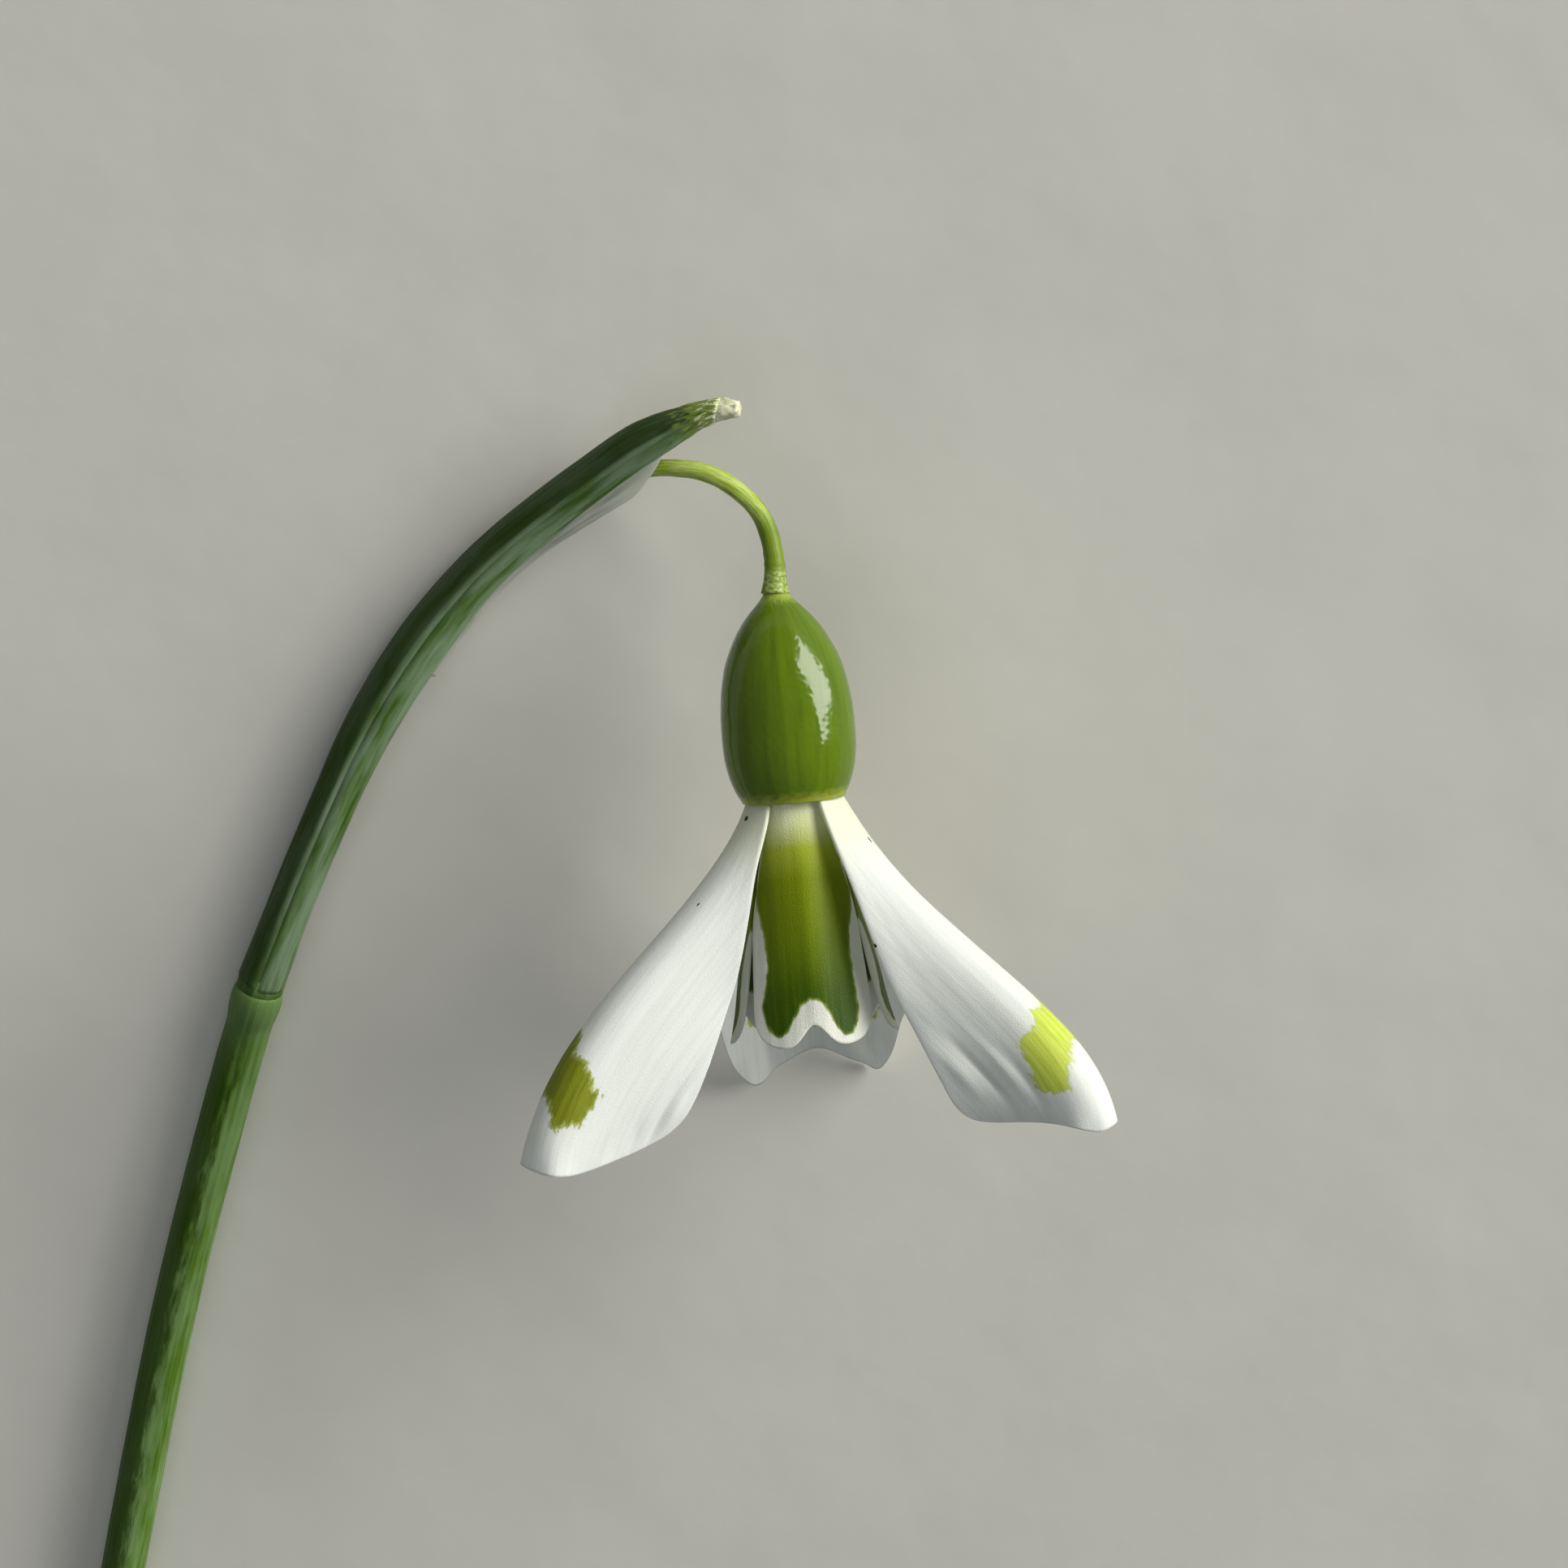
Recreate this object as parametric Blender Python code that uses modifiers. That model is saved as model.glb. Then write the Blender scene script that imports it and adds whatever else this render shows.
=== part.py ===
"""A snowdrop flower, picked with a length of its flowering stem and laid down on a flat surface.

The stem (scape) and the lower part of the spathe lie on the surface. The spathe tip and the
pedicel rise from it, and the flower rests on the tip of its back outer tepal, so its mouth
faces up and away from the stem. Shapes are worked out in millimetres and written in metres.
"""

import math

import bmesh
import bpy
from mathutils import Matrix, Vector

MM = 0.001
GAP = 0.3

# Flower head: its own frame has the ovary base at the origin, the ovary towards +Z, the tepals
# hanging towards -Z, and the side that faces up when it lies down at -Y.
HEAD_HEIGHT = 11.0
HEAD_TILT = math.radians(22.0)
HEAD_LEAN = math.radians(-5.0)

OVARY_PROFILE = [
    (11.72, 0.58), (11.2, 0.88), (10.3, 1.72), (9.4, 2.38), (8.3, 2.95), (7.1, 3.36),
    (5.6, 3.62), (4.0, 3.71), (2.7, 3.68), (1.6, 3.5), (0.7, 3.2), (0.0, 2.85),
]
OVARY_STEPS = 32
OVARY_ROWS = 26

# Tepals: midrib control points are (distance from the flower axis, distance below the base).
TEPAL_THICKNESS = 0.32
CLAW_RADIUS = 2.42
OUTER_CLAW_HALF_WIDTH = 1.25
INNER_CLAW_RADIUS = 2.0
INNER_CLAW_HALF_WIDTH = 0.85
INNER_MIDRIB = [(INNER_CLAW_RADIUS, GAP), (2.55, 4.0), (3.75, 8.5), (4.45, 13.3)]
INNER_NOTCH = 0.085
INNER_NOTCH_WIDTH = 0.24
INNER_CORNER = 0.15

# An outer tepal is folded along its midrib: steepness is the slope of its flanks and crease the
# half width of the rounded fold. Sweep turns the flank nearer the axis away from the upper side,
# and reach is the outline: the share of the length at each place from margin to margin.
OUTER_TEPALS = {
    "left": {
        "azimuth": -65.3,
        "midrib": [(CLAW_RADIUS, GAP), (4.95, 5.42), (14.44, 9.69), (17.35, 17.76)],
        "half_width": [(0, OUTER_CLAW_HALF_WIDTH), (0.18, 2.58), (0.42, 5.96), (0.7, 7.87), (1, 7.59)],
        "steepness": [(0, 0.54), (0.3, 0.93), (0.65, 0.85), (1, 0.84)],
        "crease": 1.64,
        "roll": -29.6,
        "sweep": [(0, 0), (0.3, 0.04), (0.6, 0.34), (1, 0.36)],
        "reach": [(-1, 0.62), (-0.88, 0.721), (-0.75, 0.801), (-0.5, 0.918), (-0.25, 0.983), (0, 1),
                  (0.25, 0.979), (0.5, 0.909), (0.62, 0.857), (0.75, 0.789), (0.88, 0.71), (1, 0.62)],
    },
    "right": {
        "azimuth": 64.4,
        "midrib": [(CLAW_RADIUS, GAP), (6.43, 8.01), (15.0, 11.63), (17.25, 18.28)],
        "half_width": [(0, OUTER_CLAW_HALF_WIDTH), (0.18, 2.82), (0.42, 5.69), (0.7, 7.58), (1, 7.7)],
        "steepness": [(0, 0.48), (0.3, 0.82), (0.65, 0.82), (1, 0.89)],
        "crease": 1.9,
        "roll": 23.3,
        "sweep": [(0, 0), (0.3, 0.04), (0.6, 0.34), (1, 0.36)],
        "reach": [(-1, 0.66), (-0.88, 0.705), (-0.75, 0.761), (-0.62, 0.82), (-0.5, 0.872), (-0.25, 0.96),
                  (0, 1), (0.25, 0.98), (0.5, 0.913), (0.75, 0.804), (0.88, 0.735), (1, 0.66)],
    },
    "back": {
        "azimuth": 180.0,
        "midrib": [(CLAW_RADIUS, GAP), (5.0, 6.0), (10.0, 8.8), (19.54, 17.9)],
        "half_width": [(0, OUTER_CLAW_HALF_WIDTH), (0.18, 2.2), (0.42, 4.1), (0.7, 6.4), (1, 6.8)],
        "steepness": [(0, 0.48), (0.3, 0.6), (0.65, 0.6), (1, 0.5)],
        "crease": 3.0,
        "roll": 0.0,
        "sweep": [(0, 0), (1, 0)],
        "reach": [(-1, 0.7), (-0.7, 0.8), (-0.52, 0.93), (-0.38, 0.99), (-0.25, 0.985), (0, 0.955),
                  (0.22, 0.975), (0.37, 1.0), (0.5, 0.98), (0.65, 0.91), (0.8, 0.8), (1, 0.7)],
    },
}
INNER_TEPALS = {
    "front": {"azimuth": 1.0, "half_width": [(0, INNER_CLAW_HALF_WIDTH), (0.12, 1.1), (0.3, 2.4),
                                             (0.5, 3.15), (0.75, 3.4), (1, 3.5)]},
    "left": {"azimuth": -118.0, "half_width": [(0, INNER_CLAW_HALF_WIDTH), (0.12, 1.1), (0.3, 2.4),
                                               (0.5, 3.3), (0.75, 4.05), (1, 4.45)]},
    "right": {"azimuth": 119.0, "half_width": [(0, INNER_CLAW_HALF_WIDTH), (0.12, 1.1), (0.3, 2.4),
                                               (0.5, 3.3), (0.75, 4.05), (1, 4.45)]},
}

# Stamens and style
STAMEN_COUNT = 6
STAMEN_CIRCLE = 1.18
STAMEN_LEAN = math.radians(3.5)
STAMEN_PROFILE = [(-GAP, 0.2), (-1.5, 0.2), (-1.8, 0.38), (-2.8, 0.43), (-4.6, 0.36), (-6.6, 0.16), (-7.1, 0.05)]
STYLE_PROFILE = [(-GAP, 0.22), (-3.0, 0.3), (-7.0, 0.34), (-9.6, 0.24), (-10.3, 0.08)]

# Scape, spathe and pedicel: route points are (x, y, z) from the point under the ovary base.
SCAPE_RADIUS = 1.37
SCAPE_ROUTE = [(-46.3, -77.0), (-42.5, -59.4), (-38.3, -41.0), (-34.4, -26.7), (-31.6, -17.4)]
NODE_RADIUS = 1.52
NODE_LENGTH = 2.4

SPATHE_ROUTE = [
    (0.0, Vector((-31.42, -16.9, 1.46))), (0.19, Vector((-27.9, -8.1, 1.44))),
    (0.4, Vector((-23.4, 1.4, 1.43))), (0.61, Vector((-17.55, 9.75, 1.75))),
    (0.82, Vector((-10.2, 16.55, 3.2))), (0.95, Vector((-5.15, 20.4, 4.9))),
    (1.0, Vector((-3.0, 21.2, 5.6))),
]
SPATHE_HALF_WIDTH = [(0, 1.44), (0.1, 1.36), (0.27, 1.4), (0.37, 1.52), (0.49, 1.57), (0.6, 1.42),
                     (0.7, 1.36), (0.82, 1.42), (0.88, 1.4), (0.95, 0.85), (1, 0.6)]
SPATHE_HALF_DEPTH = [(0, 1.42), (0.5, 1.42), (0.84, 1.42), (0.93, 1.0), (1, 0.6)]
SPATHE_WALL = 0.26
SPATHE_EDGE_GAP = 0.34
SPATHE_END_SLANT = 0.012
# Half the opening between the two valves along the inner side, wide at the mouth.
SPATHE_SLIT = [(0, 0.3), (0.45, 0.5), (0.66, 0.62), (0.76, 1.0), (0.86, 1.08), (0.95, 0.5), (1, 0.24)]
# The membrane between the valves: a folded skin that becomes a sleeve round the pedicel.
MEMBRANE_START = 0.46
MEMBRANE_END = 0.9
MEMBRANE_MOUTH_SLANT = 0.085
MEMBRANE_PROUD = [(0, 0.06), (0.4, 0.22), (0.8, 0.66), (1, 0.78)]
MEMBRANE_TUCK = 0.32
MEMBRANE_WALL = 0.12
MEMBRANE_FULLNESS = 0.6

PEDICEL_RADIUS = 0.5
PEDICEL_RADIUS_INSIDE = 0.43
PEDICEL_ROUTE = [
    (-31.3, -16.5, 1.46), (-27.9, -8.1, 1.44), (-23.4, 1.4, 1.43), (-17.45, 9.7, 1.75),
    (-12.3, 14.45, 2.68), (-10.1, 15.95, 3.2), (-8.4, 16.6, 3.54), (-7.1, 16.9, 3.88),
    (-5.35, 16.88, 4.22), (-4.0, 16.43, 4.42), (-2.82, 15.55, 4.52), (-1.95, 14.65, 4.78),
    (-1.42, 13.65, 5.2), (-1.14, 12.6, 5.75), (-1.05, 11.8, 6.15), (-1.05, 11.15, 6.48),
]


def clear_scene():
    for old in list(bpy.data.objects):
        bpy.data.objects.remove(old)


def material(name, colour, roughness):
    made = bpy.data.materials.new(name)
    made.use_nodes = True
    shader = made.node_tree.nodes["Principled BSDF"]
    shader.inputs["Base Color"].default_value = (*colour, 1)
    shader.inputs["Roughness"].default_value = roughness
    shader.inputs["Metallic"].default_value = 0
    return made


def along(knots, at):
    """Smooth value at a place along (place, value) knots; the values are numbers or vectors."""
    last = len(knots) - 1
    start = 0
    while start < last - 1 and at > knots[start + 1][0]:
        start += 1
    before = knots[max(start - 1, 0)]
    (x0, y0), (x1, y1) = knots[start], knots[start + 1]
    after = knots[min(start + 2, last)]
    span = x1 - x0
    rise0 = (y1 - before[1]) * (span / (x1 - before[0]))
    rise1 = (after[1] - y0) * (span / (after[0] - x0))
    u = (at - x0) / span
    ease = u * u * (3 - 2 * u)
    return y0 * (1 - ease) + y1 * ease + rise0 * (u * (1 - u) ** 2) - rise1 * (u * u * (1 - u))


def bezier(points, at):
    """Point at 0..1 on a cubic through plane control points."""
    a, b, c, d = (Vector(p) for p in points)
    rest = 1 - at
    return a * rest**3 + b * (3 * rest**2 * at) + c * (3 * rest * at**2) + d * at**3


def add_object(name, data, surface, collection, parent):
    made = bpy.data.objects.new(name, data)
    made.data.materials.append(surface)
    made.parent = parent
    collection.objects.link(made)
    return made


def sheet(name, place, rows, columns, wall, surface, collection, parent):
    """A grid bent by place(across -1..1, down 0..1) and given its wall."""
    grid = bmesh.new()
    bmesh.ops.create_grid(grid, x_segments=columns, y_segments=rows, size=1)
    for corner in grid.verts:
        corner.co = place(corner.co.x, (corner.co.y + 1) / 2) * MM
    mesh = bpy.data.meshes.new(name)
    grid.to_mesh(mesh)
    grid.free()
    mesh.shade_smooth()
    made = add_object(name, mesh, surface, collection, parent)
    shell = made.modifiers.new("wall", "SOLIDIFY")
    shell.thickness = wall * MM
    shell.offset = 0
    shell.use_even_offset = True
    return made


def turned(name, profile, steps, surface, collection, parent):
    """A solid of revolution about Z from a smooth (height, radius) profile, top to bottom."""
    points = [(0, profile[0][0])] + [(radius, height) for height, radius in profile] + [(0, profile[-1][0])]
    outline = bmesh.new()
    corners = [outline.verts.new((radius * MM, 0, height * MM)) for radius, height in points]
    for upper, lower in zip(corners, corners[1:]):
        outline.edges.new((upper, lower))
    mesh = bpy.data.meshes.new(name)
    outline.to_mesh(mesh)
    outline.free()
    made = add_object(name, mesh, surface, collection, parent)
    lathe = made.modifiers.new("lathe", "SCREW")
    lathe.steps = steps
    lathe.render_steps = steps
    lathe.use_merge_vertices = True
    lathe.merge_threshold = 0.00001
    lathe.use_smooth_shade = True
    return made


def tube(name, route, radii, sides, surface, collection, parent):
    """A round solid along a route, with one radius for each point."""
    curve = bpy.data.curves.new(name, "CURVE")
    curve.dimensions = "3D"
    curve.bevel_depth = MM
    curve.bevel_resolution = sides
    curve.use_fill_caps = True
    spline = curve.splines.new("POLY")
    spline.points.add(len(route) - 1)
    for point, place, radius in zip(spline.points, route, radii):
        point.co = (*(Vector(place) * MM), 1)
        point.radius = radius
    return add_object(name, curve, surface, collection, parent)


def evenly(knots, count):
    return [along(knots, step / (count - 1)) for step in range(count)]


def as_knots(points):
    """Route points as knots placed by the distance between them."""
    points = [Vector(p) for p in points]
    places = [0.0]
    for one, other in zip(points, points[1:]):
        places.append(places[-1] + (other - one).length)
    return [(place / places[-1], point) for place, point in zip(places, points)]


def arc(width, radius):
    """Sideways and outward place of a flattened distance on a round section."""
    return radius * math.sin(width / radius), -radius * (1 - math.cos(width / radius))


def fold(width, steepness, crease):
    """Sideways and outward place of a flattened distance on a section folded along its middle."""
    slant = math.hypot(width, crease)
    side = width * math.sqrt(1 - (steepness * width / slant) ** 2)
    return side, -steepness * (slant - crease)


def tissue_point(azimuth, midrib, down, section, roll):
    """A point on a tepal from its section's (sideways, outward) place, in the flower head's frame."""
    step = 0.01
    spine = bezier(midrib, down)
    forward = (bezier(midrib, down + step) - bezier(midrib, down - step)).normalized()
    turn = math.radians(roll) * down
    side = section[0] * math.cos(turn) - section[1] * math.sin(turn)
    depth = section[0] * math.sin(turn) + section[1] * math.cos(turn)
    place = Vector((side, -spine.x - depth * forward.y, depth * forward.x - spine.y))
    return Matrix.Rotation(math.radians(azimuth), 3, "Z") @ place


def outer_tepal(spec):
    inner_side = -math.copysign(1, spec["azimuth"])

    def place(across, down):
        down *= along(spec["reach"], across)
        width = math.sin(across * math.pi / 2) * along(spec["half_width"], down)
        section = fold(width, along(spec["steepness"], down), spec["crease"])
        point = tissue_point(spec["azimuth"], spec["midrib"], down, section, spec["roll"])
        middle = tissue_point(spec["azimuth"], spec["midrib"], down, (0, 0), 0)
        inward = max(inner_side * (point.x - middle.x), 0)
        point.y += along(spec["sweep"], down) * inward * inward / (inward + 1)
        return point
    return place


def inner_tepal(spec):
    def place(across, down):
        across = math.sin(across * math.pi / 2 * 0.999)
        notch = INNER_NOTCH * math.exp(-(across / INNER_NOTCH_WIDTH) ** 2)
        corner = INNER_CORNER * (1 - math.sqrt(1 - across**4))
        down *= 1 - notch - corner
        section = arc(across * along(spec["half_width"], down), bezier(INNER_MIDRIB, down).x)
        return tissue_point(spec["azimuth"], INNER_MIDRIB, down, section, 0)
    return place


def spathe_frame(at):
    """Middle of the spathe at 0..1, with its sideways direction (inner side) and its upward one."""
    step = 0.005
    ahead = along(SPATHE_ROUTE, min(at + step, 1)) - along(SPATHE_ROUTE, max(at - step, 0))
    up = Vector((0, 0, 1))
    up = (up - up.project(ahead)).normalized()
    return along(SPATHE_ROUTE, at), ahead.normalized().cross(up), up


def valve(facing):
    """A green half of the spathe; facing is 1 for the upper one and -1 for the lower one."""
    def place(across, down):
        down *= 1 - SPATHE_END_SLANT * across**2
        middle, inner, up = spathe_frame(down)
        wide = along(SPATHE_HALF_WIDTH, down) - SPATHE_WALL / 2
        deep = along(SPATHE_HALF_DEPTH, down) - SPATHE_WALL / 2
        first = math.asin(along(SPATHE_SLIT, down) / deep)
        last = math.pi - math.asin(SPATHE_EDGE_GAP / 2 / deep)
        angle = first + (last - first) * (across + 1) / 2
        return middle + inner * (wide * math.cos(angle)) + up * (facing * deep * math.sin(angle))
    return place


def membrane(across, down):
    """The thin skin joining the valves along their inner side, a sleeve round the pedicel at its end."""
    down *= 1 - MEMBRANE_MOUTH_SLANT / (MEMBRANE_END - MEMBRANE_START) * (1 - across**2)
    at = MEMBRANE_START + (MEMBRANE_END - MEMBRANE_START) * down
    middle, inner, up = spathe_frame(at)
    slit = along(SPATHE_SLIT, at)
    deep = along(SPATHE_HALF_DEPTH, at) - SPATHE_WALL / 2
    wide = along(SPATHE_HALF_WIDTH, at)
    near = wide * math.sqrt(1 - (slit / deep) ** 2) - MEMBRANE_TUCK
    far = wide + along(MEMBRANE_PROUD, down)
    angle = across * math.pi / 2
    height = (slit - MEMBRANE_TUCK) * math.sin(angle)
    return middle + inner * (near + (far - near) * math.cos(angle) ** MEMBRANE_FULLNESS) + up * height


def make_stem(collection, parent):
    green = material("scape_green", (0.06, 0.12, 0.03), 0.5)
    glaucous = material("spathe_green", (0.08, 0.15, 0.07), 0.6)
    papery = material("membrane_white", (0.6, 0.62, 0.55), 0.5)
    fresh = material("pedicel_green", (0.3, 0.42, 0.05), 0.4)

    flat = as_knots([(x, y, SCAPE_RADIUS) for x, y in SCAPE_ROUTE])
    count = 26
    length = sum((b[1] - a[1]).length for a, b in zip(flat, flat[1:]))
    route, radii = [], []
    for step in range(count):
        at = 1 - (1 - step / (count - 1)) ** 1.5
        swell = max(0.0, 1 - (1 - at) * length / NODE_LENGTH)
        radius = SCAPE_RADIUS + (NODE_RADIUS - SCAPE_RADIUS) * math.sin(min(swell * 1.5, 1) * math.pi / 2)
        place = along(flat, at)
        place.z = radius
        route.append(place)
        radii.append(radius)
    tube("scape", route, radii, 4, green, collection, parent)

    sheet("spathe_front_valve", valve(1), 28, 8, SPATHE_WALL, glaucous, collection, parent)
    sheet("spathe_back_valve", valve(-1), 28, 8, SPATHE_WALL, glaucous, collection, parent)
    sheet("spathe_membrane", membrane, 18, 8, MEMBRANE_WALL, papery, collection, parent)
    pedicel = evenly(as_knots(PEDICEL_ROUTE), 44)
    slim, full = PEDICEL_RADIUS_INSIDE, PEDICEL_RADIUS
    radii = evenly([(0, slim), (0.75, slim), (0.85, full), (1, full)], len(pedicel))
    tube("pedicel", pedicel, radii, 2, fresh, collection, parent)


def make_head(collection, parent):
    green = material("ovary_green", (0.1, 0.2, 0.01), 0.25)
    white = material("tepal_white", (0.8, 0.82, 0.78), 0.5)
    marked = material("inner_tepal_green", (0.2, 0.3, 0.02), 0.5)
    orange = material("anther_orange", (0.8, 0.4, 0.05), 0.6)
    pale = material("style_white", (0.75, 0.8, 0.6), 0.5)

    heights = as_knots([(height, radius, 0) for height, radius in OVARY_PROFILE])
    profile = [(point.x, point.y) for point in evenly(heights, OVARY_ROWS)]
    turned("ovary", profile, OVARY_STEPS, green, collection, parent)
    for side, spec in OUTER_TEPALS.items():
        name = "outer_tepal_" + side
        sheet(name, outer_tepal(spec), 20, 12, TEPAL_THICKNESS, white, collection, parent)
    for side, spec in INNER_TEPALS.items():
        name = "inner_tepal_" + side
        sheet(name, inner_tepal(spec), 16, 12, TEPAL_THICKNESS, marked, collection, parent)
    turned("style", STYLE_PROFILE, 10, pale, collection, parent)
    first = None
    for number in range(STAMEN_COUNT):
        name = "stamen_" + str(number + 1)
        around = Matrix.Rotation(math.tau * (number + 0.5) / STAMEN_COUNT, 4, "Z")
        made = turned(name, STAMEN_PROFILE, 10, orange, collection, parent)
        if first:
            made.data = first.data
        first = first or made
        out = Matrix.Translation((STAMEN_CIRCLE * MM, 0, 0))
        made.matrix_local = around @ out @ Matrix.Rotation(STAMEN_LEAN, 4, "Y")


def settle(collection, root):
    """Moves everything so that its box is centred on the Z axis and stands on z = 0."""
    bpy.context.view_layer.update()
    graph = bpy.context.evaluated_depsgraph_get()
    corners = []
    for item in collection.objects:
        if item.type == "EMPTY":
            continue
        shown = item.evaluated_get(graph)
        corners += [shown.matrix_world @ corner.co for corner in shown.to_mesh().vertices]
        shown.to_mesh_clear()
    low = Vector(min(corner[axis] for corner in corners) for axis in range(3))
    high = Vector(max(corner[axis] for corner in corners) for axis in range(3))
    root.location = (-(low.x + high.x) / 2, -(low.y + high.y) / 2, -low.z)


def main():
    clear_scene()
    collection = bpy.data.collections.new("snowdrop_flower")
    bpy.context.scene.collection.children.link(collection)
    root = bpy.data.objects.new("snowdrop", None)
    head = bpy.data.objects.new("flower_head", None)
    collection.objects.link(root)
    collection.objects.link(head)
    head.parent = root
    laid_down = Matrix.Rotation(-math.pi / 2 - HEAD_TILT, 4, "X") @ Matrix.Rotation(HEAD_LEAN, 4, "Y")
    head.matrix_local = Matrix.Translation((0, 0, HEAD_HEIGHT * MM)) @ laid_down
    make_stem(collection, root)
    make_head(collection, head)
    settle(collection, root)


main()
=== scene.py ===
"""Finished look of a picked snowdrop flower lying on a plain surface.

Every piece of tissue is a fine grid bent into shape, in millimetres, and stands for the CAD node
of the same shape. The point under the ovary base is the modelling origin; fit_offset() says where
that point is in the row frame.
"""

import logging
import math
from collections.abc import Callable, Sequence
from dataclasses import dataclass
from enum import Enum
from functools import cache

import bmesh
import bpy
from mathutils import Matrix, Vector, noise


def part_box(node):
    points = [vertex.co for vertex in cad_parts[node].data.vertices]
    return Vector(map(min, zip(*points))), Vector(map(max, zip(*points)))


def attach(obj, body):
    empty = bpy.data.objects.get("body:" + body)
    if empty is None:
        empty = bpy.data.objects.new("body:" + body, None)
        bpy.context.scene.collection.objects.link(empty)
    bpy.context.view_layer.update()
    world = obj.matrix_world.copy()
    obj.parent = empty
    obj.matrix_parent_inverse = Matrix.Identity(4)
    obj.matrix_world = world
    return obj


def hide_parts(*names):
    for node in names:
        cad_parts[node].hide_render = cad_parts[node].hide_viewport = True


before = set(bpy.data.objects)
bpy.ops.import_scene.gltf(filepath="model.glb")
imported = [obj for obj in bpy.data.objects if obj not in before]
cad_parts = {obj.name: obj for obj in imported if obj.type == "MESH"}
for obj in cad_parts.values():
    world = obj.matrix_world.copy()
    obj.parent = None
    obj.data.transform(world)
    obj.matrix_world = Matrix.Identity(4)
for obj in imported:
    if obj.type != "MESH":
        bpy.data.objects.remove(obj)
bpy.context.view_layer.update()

LOG = logging.getLogger("snowdrop")
MM = 0.001
TISSUE_MAP = "tissue"
MARK_LAYER = "mark"
WALL_GROUP = "body"
TISSUE_IOR = 1.42
CUTICLE_IOR = 1.5

Knots = Sequence[tuple[float, float]]
Pair = tuple[float, float]
Place = Callable[[float, float], Vector]
Chart = Callable[[float, float], Pair]
Relief = Callable[[float, float], float]
Rgba = tuple[float, float, float, float]

# The flower head lies on its side, with its base this high and its axis turned down past the level.
HEAD_HEIGHT = 11.0
HEAD_TILT = math.radians(22.0)
HEAD_LEAN = math.radians(-5.0)
LAID_DOWN = Matrix.Rotation(-math.pi / 2 - HEAD_TILT, 4, "X") @ Matrix.Rotation(HEAD_LEAN, 4, "Y")
HEAD_FRAME = Matrix.Translation((0, 0, HEAD_HEIGHT)) @ LAID_DOWN


def along(knots: Sequence[tuple], at: float) -> float | Vector:
    """Smooth value at a place along (place, value) knots.

    Args:
        knots: places in rising order, each with a number or a vector.
        at: the place to read.

    Returns:
        The value there, of the same type as the knots' values.
    """
    last = len(knots) - 1
    start = 0
    while start < last - 1 and at > knots[start + 1][0]:
        start += 1
    before = knots[max(start - 1, 0)]
    (x0, y0), (x1, y1) = knots[start], knots[start + 1]
    after = knots[min(start + 2, last)]
    span = x1 - x0
    rise0 = (y1 - before[1]) * (span / (x1 - before[0]))
    rise1 = (after[1] - y0) * (span / (after[0] - x0))
    u = (at - x0) / span
    ease = u * u * (3 - 2 * u)
    return y0 * (1 - ease) + y1 * ease + rise0 * (u * (1 - u) ** 2) - rise1 * (u * u * (1 - u))


def bezier(points: Sequence[Pair], at: float) -> Vector:
    """Point on a plane cubic curve.

    Args:
        points: its four control points.
        at: the place on it, 0..1.

    Returns:
        The point.
    """
    a, b, c, d = (Vector(p) for p in points)
    rest = 1 - at
    return a * rest**3 + b * (3 * rest**2 * at) + c * (3 * rest * at**2) + d * at**3


@cache
def lengths_of(midrib: tuple[Pair, ...]) -> tuple[float, ...]:
    """Lengths along a midrib at 0, 0.01, 0.02 and so on, to a little past its end.

    Args:
        midrib: its control points.

    Returns:
        The lengths, in mm.
    """
    places = [0.0]
    for step in range(125):
        places.append(places[-1] + (bezier(midrib, (step + 1) / 100) - bezier(midrib, step / 100)).length)
    return tuple(places)


def length_at(midrib: tuple[Pair, ...], at: float) -> float:
    """Length along a midrib from its start to a place.

    Args:
        midrib: its control points.
        at: the place, 0..1.

    Returns:
        The length, in mm.
    """
    places = lengths_of(midrib)
    step = int(at * 100)
    return places[step] + (places[step + 1] - places[step]) * (at * 100 - step)


def as_knots(points: Sequence) -> list[tuple[float, Vector]]:
    """Route points as knots placed by the distance between them.

    Args:
        points: the points in order.

    Returns:
        Each point after its place, 0..1.
    """
    points = [Vector(p) for p in points]
    places = [0.0]
    for one, other in zip(points, points[1:]):
        places.append(places[-1] + (other - one).length)
    return [(place / places[-1], point) for place, point in zip(places, points)]


def hill(at: float, centre: float, spread: float) -> float:
    """A smooth hill of height 1 at centre."""
    return math.exp(-(((at - centre) / spread) ** 2))


def grain(u: float, v: float, seed: float) -> float:
    """Smooth noise, about -1..1, at a place on the tissue."""
    return noise.noise(Vector((u, v, seed)))


def linear(code: str) -> Rgba:
    """An sRGB hex colour as a linear one.

    Args:
        code: the hex code with its #.

    Returns:
        Red, green, blue and alpha.
    """
    parts = [int(code[start:start + 2], 16) / 255 for start in (1, 3, 5)]
    red, green, blue = (p / 12.92 if p <= 0.04045 else ((p + 0.055) / 1.055) ** 2.4 for p in parts)
    return (red, green, blue, 1.0)


def inside(outline: Sequence[Pair], u: float, v: float) -> float:
    """Distance of a place on the tissue from a closed outline.

    Args:
        outline: the outline's corners, in mm.
        u: the place across, in mm.
        v: the place along, in mm.

    Returns:
        The distance in mm, above 0 inside the outline and below 0 outside.
    """
    nearest = math.inf
    within = False
    for (ax, ay), (bx, by) in zip(outline, [*outline[1:], outline[0]]):
        run, rise = bx - ax, by - ay
        share = ((u - ax) * run + (v - ay) * rise) / (run * run + rise * rise)
        share = min(max(share, 0.0), 1.0)
        nearest = min(nearest, math.hypot(u - ax - share * run, v - ay - share * rise))
        if (ay > v) != (by > v) and u < ax + (v - ay) / rise * run:
            within = not within
    return nearest if within else -nearest


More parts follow.
